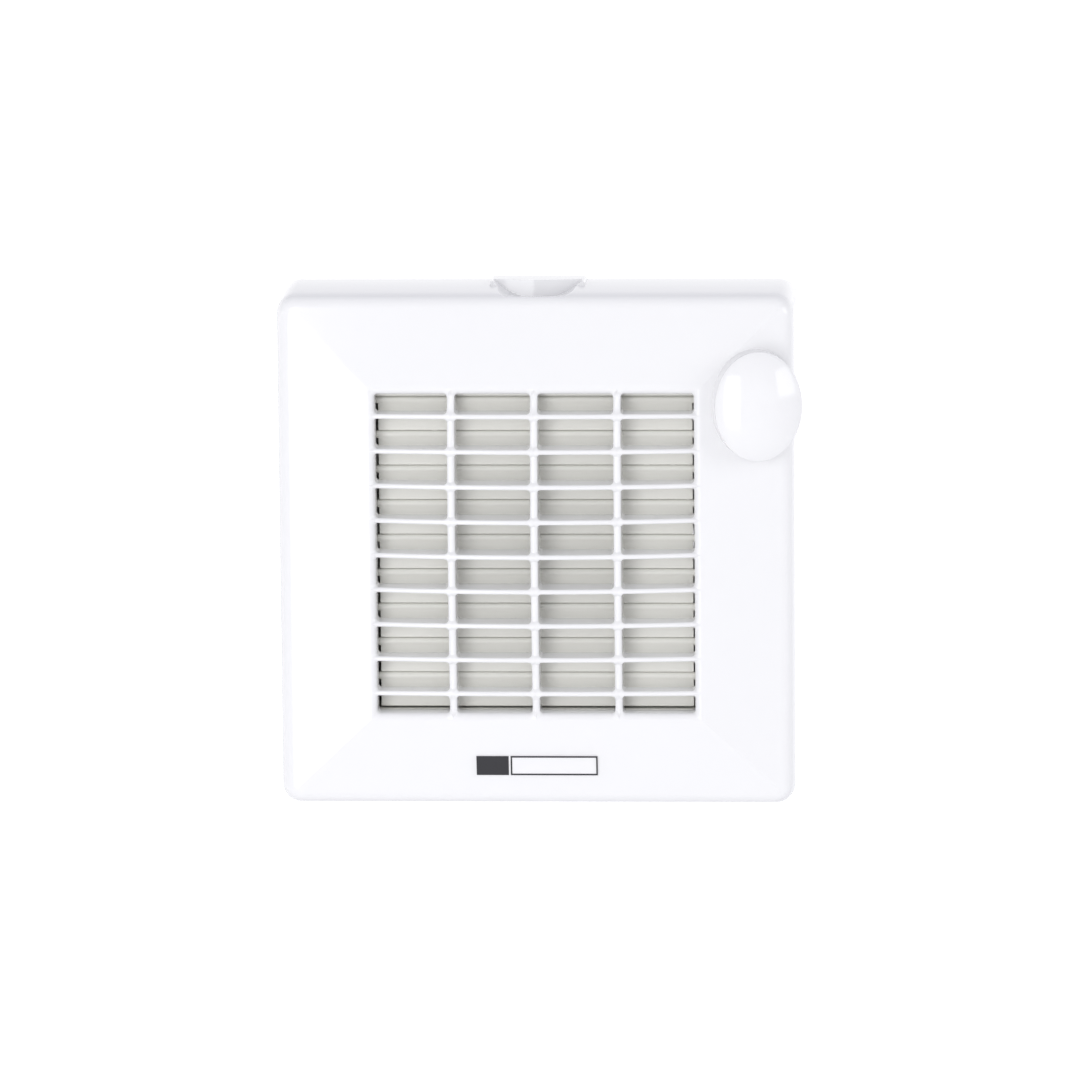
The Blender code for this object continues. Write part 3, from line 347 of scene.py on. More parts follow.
RUST = (0.2, 0.11, 0.07)
FINISHES = {}


def mix_finishes(settings):
    """Make every finish and keep it under the name of its material slot."""
    white, tray, shutter, impeller, nylon, copper = (
        tuple(getattr(settings, name)) for name in ("white", "tray", "shutter", "impeller", "nylon", "copper"))
    FINISHES.update({
        "white_abs": gloss_moulding("white_moulding", white, 0.09),
        "grey_white_abs": satin_moulding("tray_moulding", tray, 0.42, 1300.0, 0.00002),
        "shutter_grey": satin_moulding("shutter_moulding", shutter, 0.48, 1700.0, 0.00002),
        "grey_plastic": satin_moulding("impeller_moulding", impeller, 0.42),
        "dark_plastic": satin_moulding("black_moulding", (0.035, 0.036, 0.038), 0.42),
        "natural_nylon": satin_moulding("natural_nylon", nylon, 0.46, 1200.0, 0.00002, 0.04),
        "badge_black": satin_moulding("badge_ink", (0.018, 0.018, 0.022), 0.32, 2500.0, 0.00001),
        "black_rubber": moulded_rubber("black_rubber", (0.022, 0.022, 0.022)),
        "zinc_steel": plated_metal("zinc_steel", (0.66, 0.67, 0.68), 0.28),
        "zinc_sheet": plated_metal("zinc_sheet", (0.6, 0.62, 0.64), 0.36, (1.0, 1.0, 0.15)),
        "cast_alloy": cast_metal("cast_alloy", (0.62, 0.62, 0.63), 0.46),
        "lamination_steel": laminations("lamination_steel", (0.27, 0.27, 0.28)),
        "copper": plated_metal("enamelled_copper", copper, 0.26),
        "bronze": plated_metal("sintered_bronze", (0.6, 0.45, 0.23), 0.42),
    })


# -------------------------------------------------------------------------- mesh helpers


def make_mesh(name, work, sharp=32.0):
    """Turn a bmesh into a smooth mesh with sharp edges above an angle."""
    mesh = bpy.data.meshes.new(name)
    bmesh.ops.recalc_face_normals(work, faces=work.faces)
    work.to_mesh(mesh)
    work.free()
    mesh.shade_smooth()
    mesh.set_sharp_from_angle(angle=math.radians(sharp))
    return mesh


def put(name, data):
    """Add an object to the scene."""
    thing = bpy.data.objects.new(name, data)
    bpy.context.scene.collection.objects.link(thing)
    return thing


def make_piece(name, source, slot, body, nodes=()):
    """Add a finished piece from a mesh or a bmesh, give it its finish, and let it ride on its body."""
    mesh = make_mesh(name, source) if isinstance(source, bmesh.types.BMesh) else source
    piece = put(name, mesh)
    if not mesh.materials:
        mesh.materials.append(FINISHES[slot])
    piece.modifiers.new("even_normals", "WEIGHTED_NORMAL").keep_sharp = True
    if nodes:
        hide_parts(*nodes)
    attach(piece, body)
    return piece


def joined(name, base, additions, cuts):
    """Unite and cut bmeshes, and return the resulting bmesh."""
    holder = put(name, make_mesh(name, base))
    helpers = []
    for operation, group in (("UNION", additions), ("DIFFERENCE", cuts)):
        for number, work in enumerate(group):
            mesh = make_mesh(f"{name}_{operation.lower()}_{number}", work)
            helpers.append(put(mesh.name, mesh))
            modifier = holder.modifiers.new(mesh.name, "BOOLEAN")
            modifier.operation = operation
            modifier.solver = "EXACT"
            modifier.object = helpers[-1]
    result = bmesh.new()
    result.from_mesh(holder.evaluated_get(bpy.context.evaluated_depsgraph_get()).to_mesh())
    for thing in (holder, *helpers):
        bpy.data.objects.remove(thing, do_unlink=True)
    return result


def add_rings(work, rings, cap_first=False, cap_last=False, looped=False):
    """Bridge rings of points with faces, and return the rings of vertices."""
    loops = [[work.verts.new(point) for point in ring] for ring in rings]
    if looped:
        loops.append(loops[0])
    for near, far in zip(loops, loops[1:]):
        for i, vert in enumerate(near):
            j = (i + 1) % len(near)
            work.faces.new((vert, near[j], far[j], far[i]))
    if cap_first:
        work.faces.new(loops[0])
    if cap_last:
        work.faces.new(loops[-1])
    return loops


def square_to(axis):
    """Return an axis at length one, and two directions square to it."""
    axis = Vector(axis).normalized()
    side = axis.cross(Vector(UP) if abs(axis.z) < 0.9 else Vector(RIGHT))
    side.normalize()
    return axis, side, axis.cross(side)


def whole_turn(steps):
    """Return evenly spaced angles round a circle."""
    return [math.tau * step / steps for step in range(steps)]


def in_metres(*pairs):
    """Return pairs of millimetres as pairs of metres."""
    return [(first / 1000.0, second / 1000.0) for first, second in pairs]


def add_turned(work, profile, centre, axis, steps, ovality=1.0):
    """Turn a profile of (radius, height) points about an axis. Ends on the axis close up."""
    axis, side, other = square_to(axis)
    rings = []
    for radius, height in profile:
        rings.append([Vector(centre) + axis * height + (side * (math.cos(angle) * radius * ovality)
                      + other * (math.sin(angle) * radius)) for angle in whole_turn(steps)])
    made = add_rings(work, rings, profile[0][0] > 0.0, profile[-1][0] > 0.0)
    for loop, (radius, _) in zip(made, profile):
        if radius == 0.0:
            bmesh.ops.pointmerge(work, verts=loop, merge_co=loop[0].co.copy())
    return work


def add_hollow(work, profile, centre, axis, steps):
    """Turn a closed profile of (radius, height) points about an axis."""
    axis, side, other = square_to(axis)
    rings = []
    for angle in whole_turn(steps):
        across = side * math.cos(angle) + other * math.sin(angle)
        rings.append([Vector(centre) + axis * height + across * radius for radius, height in profile])
    add_rings(work, rings, looped=True)
    return work


def add_block(work, low, high, bevel=0.0, segments=2):
    """Add a box between two corners, with rounded edges."""
    centre = (Vector(low) + Vector(high)) / 2
    size = Vector(high) - Vector(low)
    matrix = Matrix.Translation(centre) @ Matrix.Diagonal((*size, 1.0))
    verts = bmesh.ops.create_cube(work, size=1.0, matrix=matrix)["verts"]
    if bevel > 0.0:
        edges = {edge for vert in verts for edge in vert.link_edges}
        bmesh.ops.bevel(work, geom=list(edges), offset=bevel, segments=segments, profile=0.5, affect="EDGES")
    return work


def fillet(centre, radius, start, end, count):
    """Return points along an arc, angles in degrees."""
    points = []
    for i in range(count + 1):
        angle = math.radians(start + (end - start) * i / count)
        points.append((centre[0] + radius * math.cos(angle), centre[1] + radius * math.sin(angle)))
    return points


# ------------------------------------------------------------------------ cover moulding


def walk(x_low, x_high, z_low, z_high, across, down):
    """Return points clockwise round a rectangle, from its top left corner."""
    width = x_high - x_low
    height = z_high - z_low
    points = [(x_low + width * f, z_high) for f in across[:-1]]
    points += [(x_high, z_high - height * f) for f in down[:-1]]
    points += [(x_high - width * (1.0 - f), z_low) for f in reversed(across[1:])]
    points += [(x_low, z_low + height * (1.0 - f)) for f in reversed(down[1:])]
    return points


def round_walk(x_low, x_high, z_low, z_high, across, down, corner, arc_steps):
    """Return the points of walk(), moved onto a rectangle with rounded corners."""
    corners = [Vector(at) for at in ((x_low, z_high), (x_high, z_high), (x_high, z_low), (x_low, z_low))]
    runs = ((1.0, 0.0), (0.0, -1.0), (-1.0, 0.0), (0.0, 1.0))
    back = [[1.0 - share for share in reversed(shares)] for shares in (across, down)]
    points = []
    for side, shares in enumerate((across, down, *back)):
        start, run = corners[side], Vector(runs[side])
        out = Vector((-run.y, run.x))
        span = (corners[(side + 1) % 4] - start).length
        last = len(shares) - 1
        first_share, last_share = shares[arc_steps], shares[last - arc_steps]
        for i in range(last):
            if arc_steps <= i <= last - arc_steps:
                share = (shares[i] - first_share) / (last_share - first_share)
                point = start + run * (corner + (span - 2.0 * corner) * share)
            else:
                near = i < arc_steps
                angle = math.radians(45.0) * (1.0 - (i if near else last - i) / arc_steps)
                middle = start + run * (corner if near else span - corner) - out * corner
                lean = run * (-math.sin(angle) if near else math.sin(angle))
                point = middle + (out * math.cos(angle) + lean) * corner
            points.append(tuple(point))
    return points


def mirrored_shares(offsets, half):
    """Return shares 0..1 from offsets off one end up to the middle, mirrored."""
    first = [offset / (2.0 * half) for offset in offsets]
    return first + [0.5] + [1.0 - share for share in reversed(first)]


def joined_shares(lines, shares):
    """Chain the shares of every cell between the first and the last line."""
    total = lines[-1] - lines[0]
    chained = []
    for near, far in zip(lines, lines[1:]):
        chained += [(near - lines[0] + (far - near) * share) / total for share in shares[:-1]]
    return chained + [1.0]


class CoverShape:
    """Surfaces of the cover moulding, worked out from its settings."""

    def __init__(self, settings):
        self.s = settings
        half_count = settings.slats // 2
        slat_lines = [(half_count - n) * settings.pitch + settings.slat_shift for n in range(settings.slats)]
        self.rows = [settings.window_high, *slat_lines, settings.window_low]
        self.columns = [-settings.window_x, -settings.upright_pitch, 0.0, settings.upright_pitch,
                        settings.window_x]
        self.cell_across = mirrored_shares((0.0, 0.0007, 0.0013, 0.0021, 0.0042, 0.008), 0.012675)
        self.cell_down = mirrored_shares((0.0, 0.00035, 0.00075, 0.0013, 0.0026), 0.00535)
        self.all_across = joined_shares(self.columns, self.cell_across)
        self.all_down = joined_shares([-z for z in self.rows], self.cell_down)

    def crown_out(self, x, z):
        """Distance out of the slats' fronts."""
        s = self.s
        middle = (s.window_high + s.window_low) / 2
        half = (s.window_high - s.window_low) / 2
        across = 1.0 - (x / s.window_x) ** 2
        up = 1.0 - ((z - middle) / half) ** 2
        return s.rim_out + s.crown * max(across, 0.0) * max(up, 0.0)

    def ridge_out(self, x, z):
        """Distance out along the middle lines of slats, uprights and rim."""
        out = self.crown_out(x, z)
        if min(abs(x - line) for line in self.columns[1:-1]) < 0.00001:
            gap = min(abs(z - line) for line in self.rows)
            out -= self.s.upright_back * smooth_step(gap / 0.0019)
        return out

    def slope_out(self, x, z, inset=0.0):
        """Distance out of the hipped face: the lowest of its four planes."""
        s = self.s
        rise = s.rim_out - s.edge_out
        levels = []
        for reach, edge in ((abs(x), s.window_x), (z, s.window_high), (-z, -s.window_low)):
            slope = rise / (s.half_edge - edge)
            levels.append(s.edge_out + (s.half_edge - reach) * slope - inset * math.hypot(1.0, slope))
        return min(levels)

    def cell(self, work, row, column):
        """Add the walls of one opening of the grille, out to the middles of its bars."""
        s = self.s
        x_low, x_high = self.columns[column:column + 2]
        z_high, z_low = self.rows[row:row + 2]
        upright, slat, rim = (s.upright_half, 0.0009), (s.slat_half, 0.0006), (s.window_round, s.window_round)
        left = rim if column == 0 else upright
        right = rim if column == len(self.columns) - 2 else upright
        top = rim if row == 0 else slat
        bottom = rim if row == len(self.rows) - 2 else slat
        shares = (self.cell_across, self.cell_down)
        outer = walk(x_low, x_high, z_low, z_high, *shares)
        inner, tight = (round_walk(x_low + left[0] + gap, x_high - right[0] - gap, z_low + bottom[0] + gap,
                                   z_high - top[0] - gap, *shares, corner, 3)
                        for gap, corner in ((0.0, 0.001), (0.0001, 0.0011)))
        bars = (top[1], right[1], bottom[1], left[1])
        drops = []
        for side, drop in enumerate(bars):
            count = len(shares[side % 2]) - 1
            for i in range(count):
                share = 0.5 * max(0.0, 1.0 - i / 3.0)
                tail = 0.5 * max(0.0, 1.0 - (count - i) / 3.0)
                drops.append(drop * (1.0 - share - tail) + bars[side - 1] * share + bars[(side + 1) % 4] * tail)
        ridge = [self.ridge_out(x, z) for x, z in outer]
        rings = []
        for degrees in (0.0, 22.0, 45.0, 68.0, 90.0):
            sweep = math.sin(math.radians(degrees))
            sink = 1.0 - math.cos(math.radians(degrees))
            rings.append([(ox + (ix - ox) * sweep, -(out - drop * sink), oz + (iz - oz) * sweep)
                          for (ox, oz), (ix, iz), out, drop in zip(outer, inner, ridge, drops)])
        for out, points in ((s.back_out + 0.0015, tight), (s.back_out, tight), (s.back_out, outer)):
            rings.append([(x, -out, z) for x, z in points])
        add_rings(work, rings)

    def side_half(self, out):
        """Half width of the moulding at one distance out, drafted and slightly bowed."""
        s = self.s
        share = out / s.edge_out
        return s.half_wall + (s.half_edge - s.half_wall) * share + s.bow * 4.0 * share * (1.0 - share)

    def shell_ring(self, half, out, corner):
        """Return a square ring with rounded corners, at one distance out."""
        points = round_walk(-half, half, -half, half, self.all_across, self.all_down, corner, 4)
        return [(x, -out, z) for x, z in points]

    def face_ring(self, share, reach, corner, inset):
        """Return a ring on the hipped face, a share of the way from the rim to its reach."""
        s = self.s
        x = s.window_x + (reach - s.window_x) * share
        high = s.window_high + (reach - s.window_high) * share
        low = s.window_low - (reach + s.window_low) * share
        points = round_walk(-x, x, low, high, self.all_across, self.all_down, corner, 4)
        return [(px, -self.slope_out(px, pz, inset), pz) for px, pz in points]

    def shell(self, work):
        """Add the outside, the foot and the inside of the moulding round the window."""
        s = self.s
        window = walk(-s.window_x, s.window_x, s.window_low, s.window_high, self.all_across, self.all_down)
        tilt = math.atan2(s.rim_out - s.edge_out, s.half_edge - s.window_x)
        rings = [[(x, -s.rim_out, z) for x, z in window]]
        radius = s.edge_radius
        reach = s.half_edge - radius * (1.0 - math.sin(tilt))
        for share in (0.05, 0.3, 0.6, 0.9, 0.98):
            rings.append(self.face_ring(share, reach, 0.0006 + 0.0022 * share, 0.0))
        middle_out = s.edge_out - radius * (1.0 - math.sin(tilt)) / math.cos(tilt)
        for step in range(9):
            angle = (math.pi / 2 - tilt) * (1.0 - step / 8.0)
            inset = radius * (1.0 - math.cos(angle))
            rings.append(self.shell_ring(s.half_edge - inset, middle_out + radius * math.sin(angle),
                                         s.corner - inset))
        for out in (middle_out - 0.001, 0.026, 0.021, 0.016, 0.011, 0.006, 0.002, 0.0003):
            rings.append(self.shell_ring(self.side_half(out), out, s.corner))
        rings.append(self.shell_ring(s.half_wall - 0.0003, 0.0, s.corner - 0.0003))
        inner = s.half_wall - s.shell
        rings.append(self.shell_ring(inner + 0.0003, 0.0, s.corner - s.shell + 0.0003))
        for out in (0.0003, 0.01, 0.02, 0.028):
            rings.append(self.shell_ring(self.side_half(out) - s.shell, out, s.corner - s.shell))
        round_in = 0.002
        low = s.edge_out - s.shell - round_in
        for angle in (0.0, 30.0, 60.0):
            inset = s.shell + round_in * (1.0 - math.cos(math.radians(angle)))
            rings.append(self.shell_ring(s.half_edge - inset, low + round_in * math.sin(math.radians(angle)),
                                         s.corner - inset))
        reach = s.half_edge - s.shell - round_in
        for share in (0.96, 0.6, 0.2, 0.02):
            rings.append(self.face_ring(share, reach, 0.0006 + 0.0009 * share, s.shell))
        rings.append([(x, -(s.rim_out - s.shell - 0.0001), z) for x, z in window])
        rings.append([(x, -s.back_out, z) for x, z in window])
        add_rings(work, rings)


def dome_axis(dome):
    """Return the outward axis of the corner boss."""
    return Vector((math.sin(dome.turn), -math.cos(dome.turn), 0.0))


def boss_solid(dome):
    """Return the oval corner boss with its seat for the cap."""
    radius = dome.half_height
    draft = math.tan(math.radians(2.0))
    top = -0.0013
    profile = [(radius + (dome.depth + top) * draft, -dome.depth)]
    profile += [(radius - 0.0002, top - 0.0006)]
    profile += fillet((radius - 0.0005, top - 0.0003), 0.0003, 0.0, 90.0, 3)
    profile += [(radius - 0.0016, top), (radius - 0.0018, top - 0.0002), (radius - 0.0018, top - 0.0015),
                (0.0, top - 0.0015)]
    return add_turned(bmesh.new(), profile, dome.centre, dome_axis(dome), 96, dome.narrowing)


def grip_pad(cover):
    """Return the raised pad behind the finger grip."""
    return add_block(bmesh.new(), (-0.01465, -0.015, 0.077), (0.01465, -0.0002, cover.half_wall + 0.0012),
                     0.0011, 3)


def grip_floor():
    """Return the block that carries the grip's floor inside the cover."""
    return add_block(bmesh.new(), (-0.0165, -0.0305, 0.0743), (0.0165, -0.0106, 0.077), 0.0004, 2)


def grip_scoop():
    """Return the hollow that is cut for the finger: a curved back wall and a floor that rises to the edge."""
    radius = 0.0196
    rings = []
    steps = 96
    for step in range(steps + 1):
        x = -0.015 + 0.03 * step / steps
        back = -0.0085 - 0.0045 * (1.0 - (x / 0.015) ** 2)
        deep = 0.0752 + radius - math.sqrt(radius * radius - x * x)
        shallow = 0.0781 + 0.35 * max(abs(x) - 0.0085, 0.0)
        ring = []
        for share in (0.0, 0.15, 0.35, 0.6, 0.8, 1.0):
            ring.append((x, back + (-0.0315 - back) * share, deep + (shallow - deep) * smooth_step(share)))
        ring += [(x, -0.046, shallow + 0.001), (x, -0.046, 0.09), (x, back + 0.0035, 0.09)]
        rings.append(ring)
    work = bmesh.new()
    add_rings(work, rings, True, True)
    return work


def clip_pegs():
    """Return the four pegs inside the cover, with rounded tips and feet."""
    work = bmesh.new()
    profile = [(0.0, 0.006), (0.0008, 0.0061), (0.0016, 0.0066), (0.002, 0.0076), (0.002, 0.028),
               (0.0023, 0.031), (0.0032, 0.033), (0.0032, 0.0348), (0.0, 0.0348)]
    for x in (-0.03, 0.03):
        for z in (-0.069, 0.069):
            add_turned(work, profile, (x, 0.0, z), (0.0, -1.0, 0.0), 20)
    return work


def mark_hips(mesh, cover):
    """Make the mitre lines of the hipped face crisp."""
    work = bmesh.new()
    work.from_mesh(mesh)
    for edge in work.edges:
        if len(edge.link_faces) != 2:
            continue
        middle = (edge.verts[0].co + edge.verts[1].co) / 2
        reach = max(abs(middle.x), abs(middle.z))
        on_face = 0.0512 < reach < cover.half_edge - cover.edge_radius
        in_grip = abs(middle.x) < 0.0152 and 0.0745 < middle.z < 0.0797 and -0.036 < middle.y < -0.006
        if (on_face or in_grip) and edge.calc_face_angle() > math.radians(10.0 if on_face else 7.0):
            edge.smooth = False
    work.to_mesh(mesh)
    work.free()


class FAN_OT_cover(bpy.types.Operator):
    """Build the cover moulding with its grille, corner boss and finger grip"""

    bl_idname = "fan.cover"
    bl_label = "Cover moulding"

    def execute(self, context):
        cover = context.scene.fan_cover
        shape = CoverShape(cover)
        work = bmesh.new()
        for row in range(len(shape.rows) - 1):
            for column in range(len(shape.columns) - 1):
                shape.cell(work, row, column)
        shape.shell(work)
        bmesh.ops.remove_doubles(work, verts=work.verts, dist=0.000002)
        additions = [boss_solid(context.scene.fan_dome), grip_floor(), grip_pad(cover), clip_pegs()]
        result = joined("cover_moulding", work, additions, [grip_scoop()])
        mesh = make_mesh("cover_moulding", result)
        mark_hips(mesh, cover)
        make_piece("cover_moulding", mesh, "white_abs", "cover", ("front_cover", "front_grille"))
        return {"FINISHED"}


class FAN_OT_dome(bpy.types.Operator):
    """Build the domed cap of the corner boss"""

    bl_idname = "fan.dome"
    bl_label = "Corner dome"

    def execute(self, context):
        dome = context.scene.fan_dome
        radius = dome.half_height
        profile = [(0.0, -0.0026), (radius - 0.0021, -0.0026), (radius - 0.0021, -0.001), (radius - 0.0003, -0.001),
                   (radius - 0.0001, -0.0009), (radius, -0.0007), (radius, 0.0)]
        for step in range(1, 33):
            share = math.sin(math.pi / 2 * (1.0 - step / 32.0))
            rise = 0.78 * (1.0 - share * share) + 0.22 * math.sqrt(1.0 - share * share)
            profile.append((radius * share if step < 32 else 0.0, dome.crown * rise))
        work = add_turned(bmesh.new(), profile, dome.centre, dome_axis(dome), 96, dome.narrowing)
        make_piece("corner_dome_cap", work, "white_abs", "cover", ("corner_dome",))
        return {"FINISHED"}


class FAN_OT_badge(bpy.types.Operator):
    """Build the plain name plate: a dark square beside an outlined blank panel"""

    bl_idname = "fan.badge"
    bl_label = "Name plate"

    def execute(self, context):
        cover = context.scene.fan_cover
        slope = math.atan2(cover.rim_out - cover.edge_out, cover.half_edge + cover.window_low)
        z = -0.066
        out = cover.edge_out + (cover.half_edge + z) * math.tan(slope)
        origin = Vector((0.0, -out, z)) + Vector((0.0, -math.cos(slope), -math.sin(slope))) * 0.00005
        place = Matrix.Translation(origin) @ Matrix.Rotation(slope, 4, "X")
        low_x, high_x, half, line = -0.0081, 0.0186, 0.00315, 0.00045
        plate = add_block(bmesh.new(), (-high_x, -0.00035, -half), (high_x, 0.0001, half), 0.0001, 1)
        ink = add_block(bmesh.new(), (-high_x, -0.0005, -half), (-0.0087, -0.00025, half), 0.00006, 1)
        for x_low, z_low, x_high, z_high in ((low_x, half - line, high_x, half), (low_x, -half, high_x, line - half),
                                             (low_x, line - half, low_x + line, half - line),
                                             (high_x - line, line - half, high_x, half - line)):
            add_block(ink, (x_low, -0.0005, z_low), (x_high, -0.00025, z_high))
        plate.transform(place)
        ink.transform(place)
        make_piece("badge_plate", plate, "white_abs", "cover", ("badge",))
        make_piece("badge_ink", ink, "badge_black", "cover")
        return {"FINISHED"}


# ------------------------------------------------------------------------------ shutters


def blade_outline(drop):
    """Return the cross-section of a blade as (y, z): barrel, plate and lower lip."""
    front = [(-0.00115, 0.0001), (-0.0007, -0.0016), (-0.00055, -0.003), (-0.00055, -drop + 0.0016),
             (-0.00078, -drop + 0.0008)]
    lip = fillet((-0.00045, -drop + 0.00035), 0.00035, 180.0, 270.0, 3)
    lip += fillet((0.00025, -drop + 0.00035), 0.00035, 270.0, 360.0, 3)
    back = [(0.0006, -0.003), (0.00075, -0.0016), (0.00115, 0.0001)]
    return front + lip + back + fillet((0.0, 0.0), 0.0012, 10.0, 170.0, 8)


class FAN_OT_shutters(bpy.types.Operator):
    """Build the shutter blades with their pins and cranks"""

    bl_idname = "fan.shutters"
    bl_label = "Shutter blades"

    def execute(self, context):
        s = context.scene.fan_shutters
        rest = math.radians(-37.5)
        tip = Vector((0.0, 0.006 * math.cos(rest), 0.006 * math.sin(rest)))
        spindle = add_turned(bmesh.new(), [(0.0, -0.052), (0.0008, -0.052), (0.001, -0.0518), (0.001, -0.0486),
                                           (0.0012, -0.0485), (0.0012, 0.0485), (0.001, 0.0486), (0.001, 0.0502),
                                           (0.0007, 0.0505), (0.0, 0.0505)], ORIGIN, RIGHT, 20)
        pin = add_turned(bmesh.new(), [(0.0, -0.055), (0.0007, -0.055), (0.0009, -0.0548), (0.0009, -0.052),
                                       (0.0, -0.052)], tip, RIGHT, 16)
        blade = joined("shutter_blade", self.plate(s), [spindle, self.crank(rest, tip), pin], [])
        mesh = make_mesh("shutter_blade", blade)
        for number in range(1, s.blades + 1):
            copy = mesh.copy()
            copy.transform(Matrix.Translation((0.0, -s.pin_out, s.top_pin - (number - 1) * s.pitch)))
            make_piece(f"blade_{number}", copy, "shutter_grey", f"blade_{number}", (f"shutter_{number}",))
        lip = block((-0.0488, -0.0331, 0.0479), (0.0488, -0.0325, 0.0495), 0.0001)
        make_piece("frame_lip", lip, "shutter_grey", "base")
        return {"FINISHED"}

    def plate(self, s):
        """Return the blade's plate with its barrel."""
        outline = blade_outline(s.drop)
        rings = []
        for x, shrink in ((-s.half, 0.0002), (-s.half + 0.0002, 0.0), (-0.024, 0.0), (0.0, 0.0), (0.024, 0.0),
                          (s.half - 0.0002, 0.0), (s.half, 0.0002)):
            rings.append([(x, y * (1.0 - shrink * 150.0), z + shrink * (1.0 if z < -0.004 else -1.0))
                          for y, z in outline])
        plate = bmesh.new()
        add_rings(plate, rings, True, True)
        return plate

    def crank(self, rest, tip):
        """Return the arm that joins the blade to its crank pin."""
        side = Vector((0.0, -math.sin(rest), math.cos(rest)))
        rings = []
        for x, shrink in ((-0.0527, 0.0002), (-0.0525, 0.0), (-0.0513, 0.0), (-0.0511, 0.0002)):
            ring = []
            for centre, radius, start in ((tip, 0.0014, -90.0), (Vector(), 0.0019, 90.0)):
                for step in range(9):
                    angle = math.radians(start + 180.0 * step / 8)
                    toward = tip.normalized() * math.cos(angle) + side * math.sin(angle)
                    point = centre + toward * (radius - shrink)
                    ring.append((x, point.y, point.z))
            rings.append(ring)
        arm = bmesh.new()
        add_rings(arm, rings, True, True)
        return arm


# ----------------------------------------------------------------------- tray and spigot


def square_ring(half, out, corner):
    """Return a square ring with rounded corners at one distance out."""
    shares = [0.0, 0.004, 0.008, 0.012, 0.016, 0.1, 0.3, 0.5, 0.7, 0.9, 0.984, 0.988, 0.992, 0.996, 1.0]
    points = round_walk(-half, half, -half, half, shares, shares, corner, 4)
    return [(x, -out, z) for x, z in points]


def rod(start, end, radius, steps=32, rounding=0.0):
    """Return a cylinder between two points, with rounded rims."""
    start = Vector(start)
    span = (Vector(end) - start).length
    profile = [(0.0, 0.0), (radius, 0.0), (radius, span), (0.0, span)]
    if rounding > 0.0:
        profile[1:3] = [(radius - rounding, 0.0), (radius, rounding), (radius, span - rounding),
                        (radius - rounding, span)]
    return add_turned(bmesh.new(), profile, start, (Vector(end) - start) / span, steps)


def out_rods(places, out_low, out_high, radius, steps=32, rounding=0.0):
    """Return cylinders along the duct axis between two distances out."""
    return [rod((x, -out_low, z), (x, -out_high, z), radius, steps, rounding) for x, z in places]


def block(low, high, bevel=0.0003):
    """Return a box with rounded edges."""
    return add_block(bmesh.new(), low, high, bevel)


def bolt_rods(near, far, radius, steps=32):
    """Return cylinders along the duct axis at the motor's two bolts."""
    return [rod((x, near, 0.0), (x, far, 0.0), radius, steps) for x in (-0.0175, 0.0175)]


def round_the_duct(low, high, bevel):
    """Return three copies of a block, one on each arm of the spider."""
    blocks = []
    for degrees in ARMS:
        blocks.append(block(low, high, bevel))
        blocks[-1].transform(Matrix.Rotation(-math.radians(degrees), 4, "Y"))
    return blocks


def gathered(works):
    """Merge bmeshes that don't touch into one."""
    whole = bmesh.new()
    for work in works:
        mesh = bpy.data.meshes.new("gathered")
        work.to_mesh(mesh)
        work.free()
        whole.from_mesh(mesh)
        bpy.data.meshes.remove(mesh)
    return whole


FRAME_POSTS = [(side * 0.038, z) for side in (-1, 1) for z in (0.0548, -0.0556)]
PEGS = [(side * 0.03, end * 0.069) for side in (-1, 1) for end in (-1, 1)]
WALL_HOLES = [(side * 0.066, end * 0.066) for side in (-1, 1) for end in (-1, 1)]
FLANGE_SCREWS = [around(0.0526, degrees) for degrees in (30, 150, 270)]
ARMS = (90, 210, 330)
SPIDER_SCREWS = [around(0.0438, degrees) for degrees in ARMS]
CABLE = (0.064, -0.036)
CLAMP_POSTS = [(CABLE[0] + side * 0.0066, -0.02) for side in (-1, 1)]
ACTUATOR = (-0.0625, -0.0258)
BRACKET_POSTS = [(ACTUATOR[0], 0.026), (ACTUATOR[0], -0.044)]
TERMINAL_SCREW = (CABLE[0], 0.002)


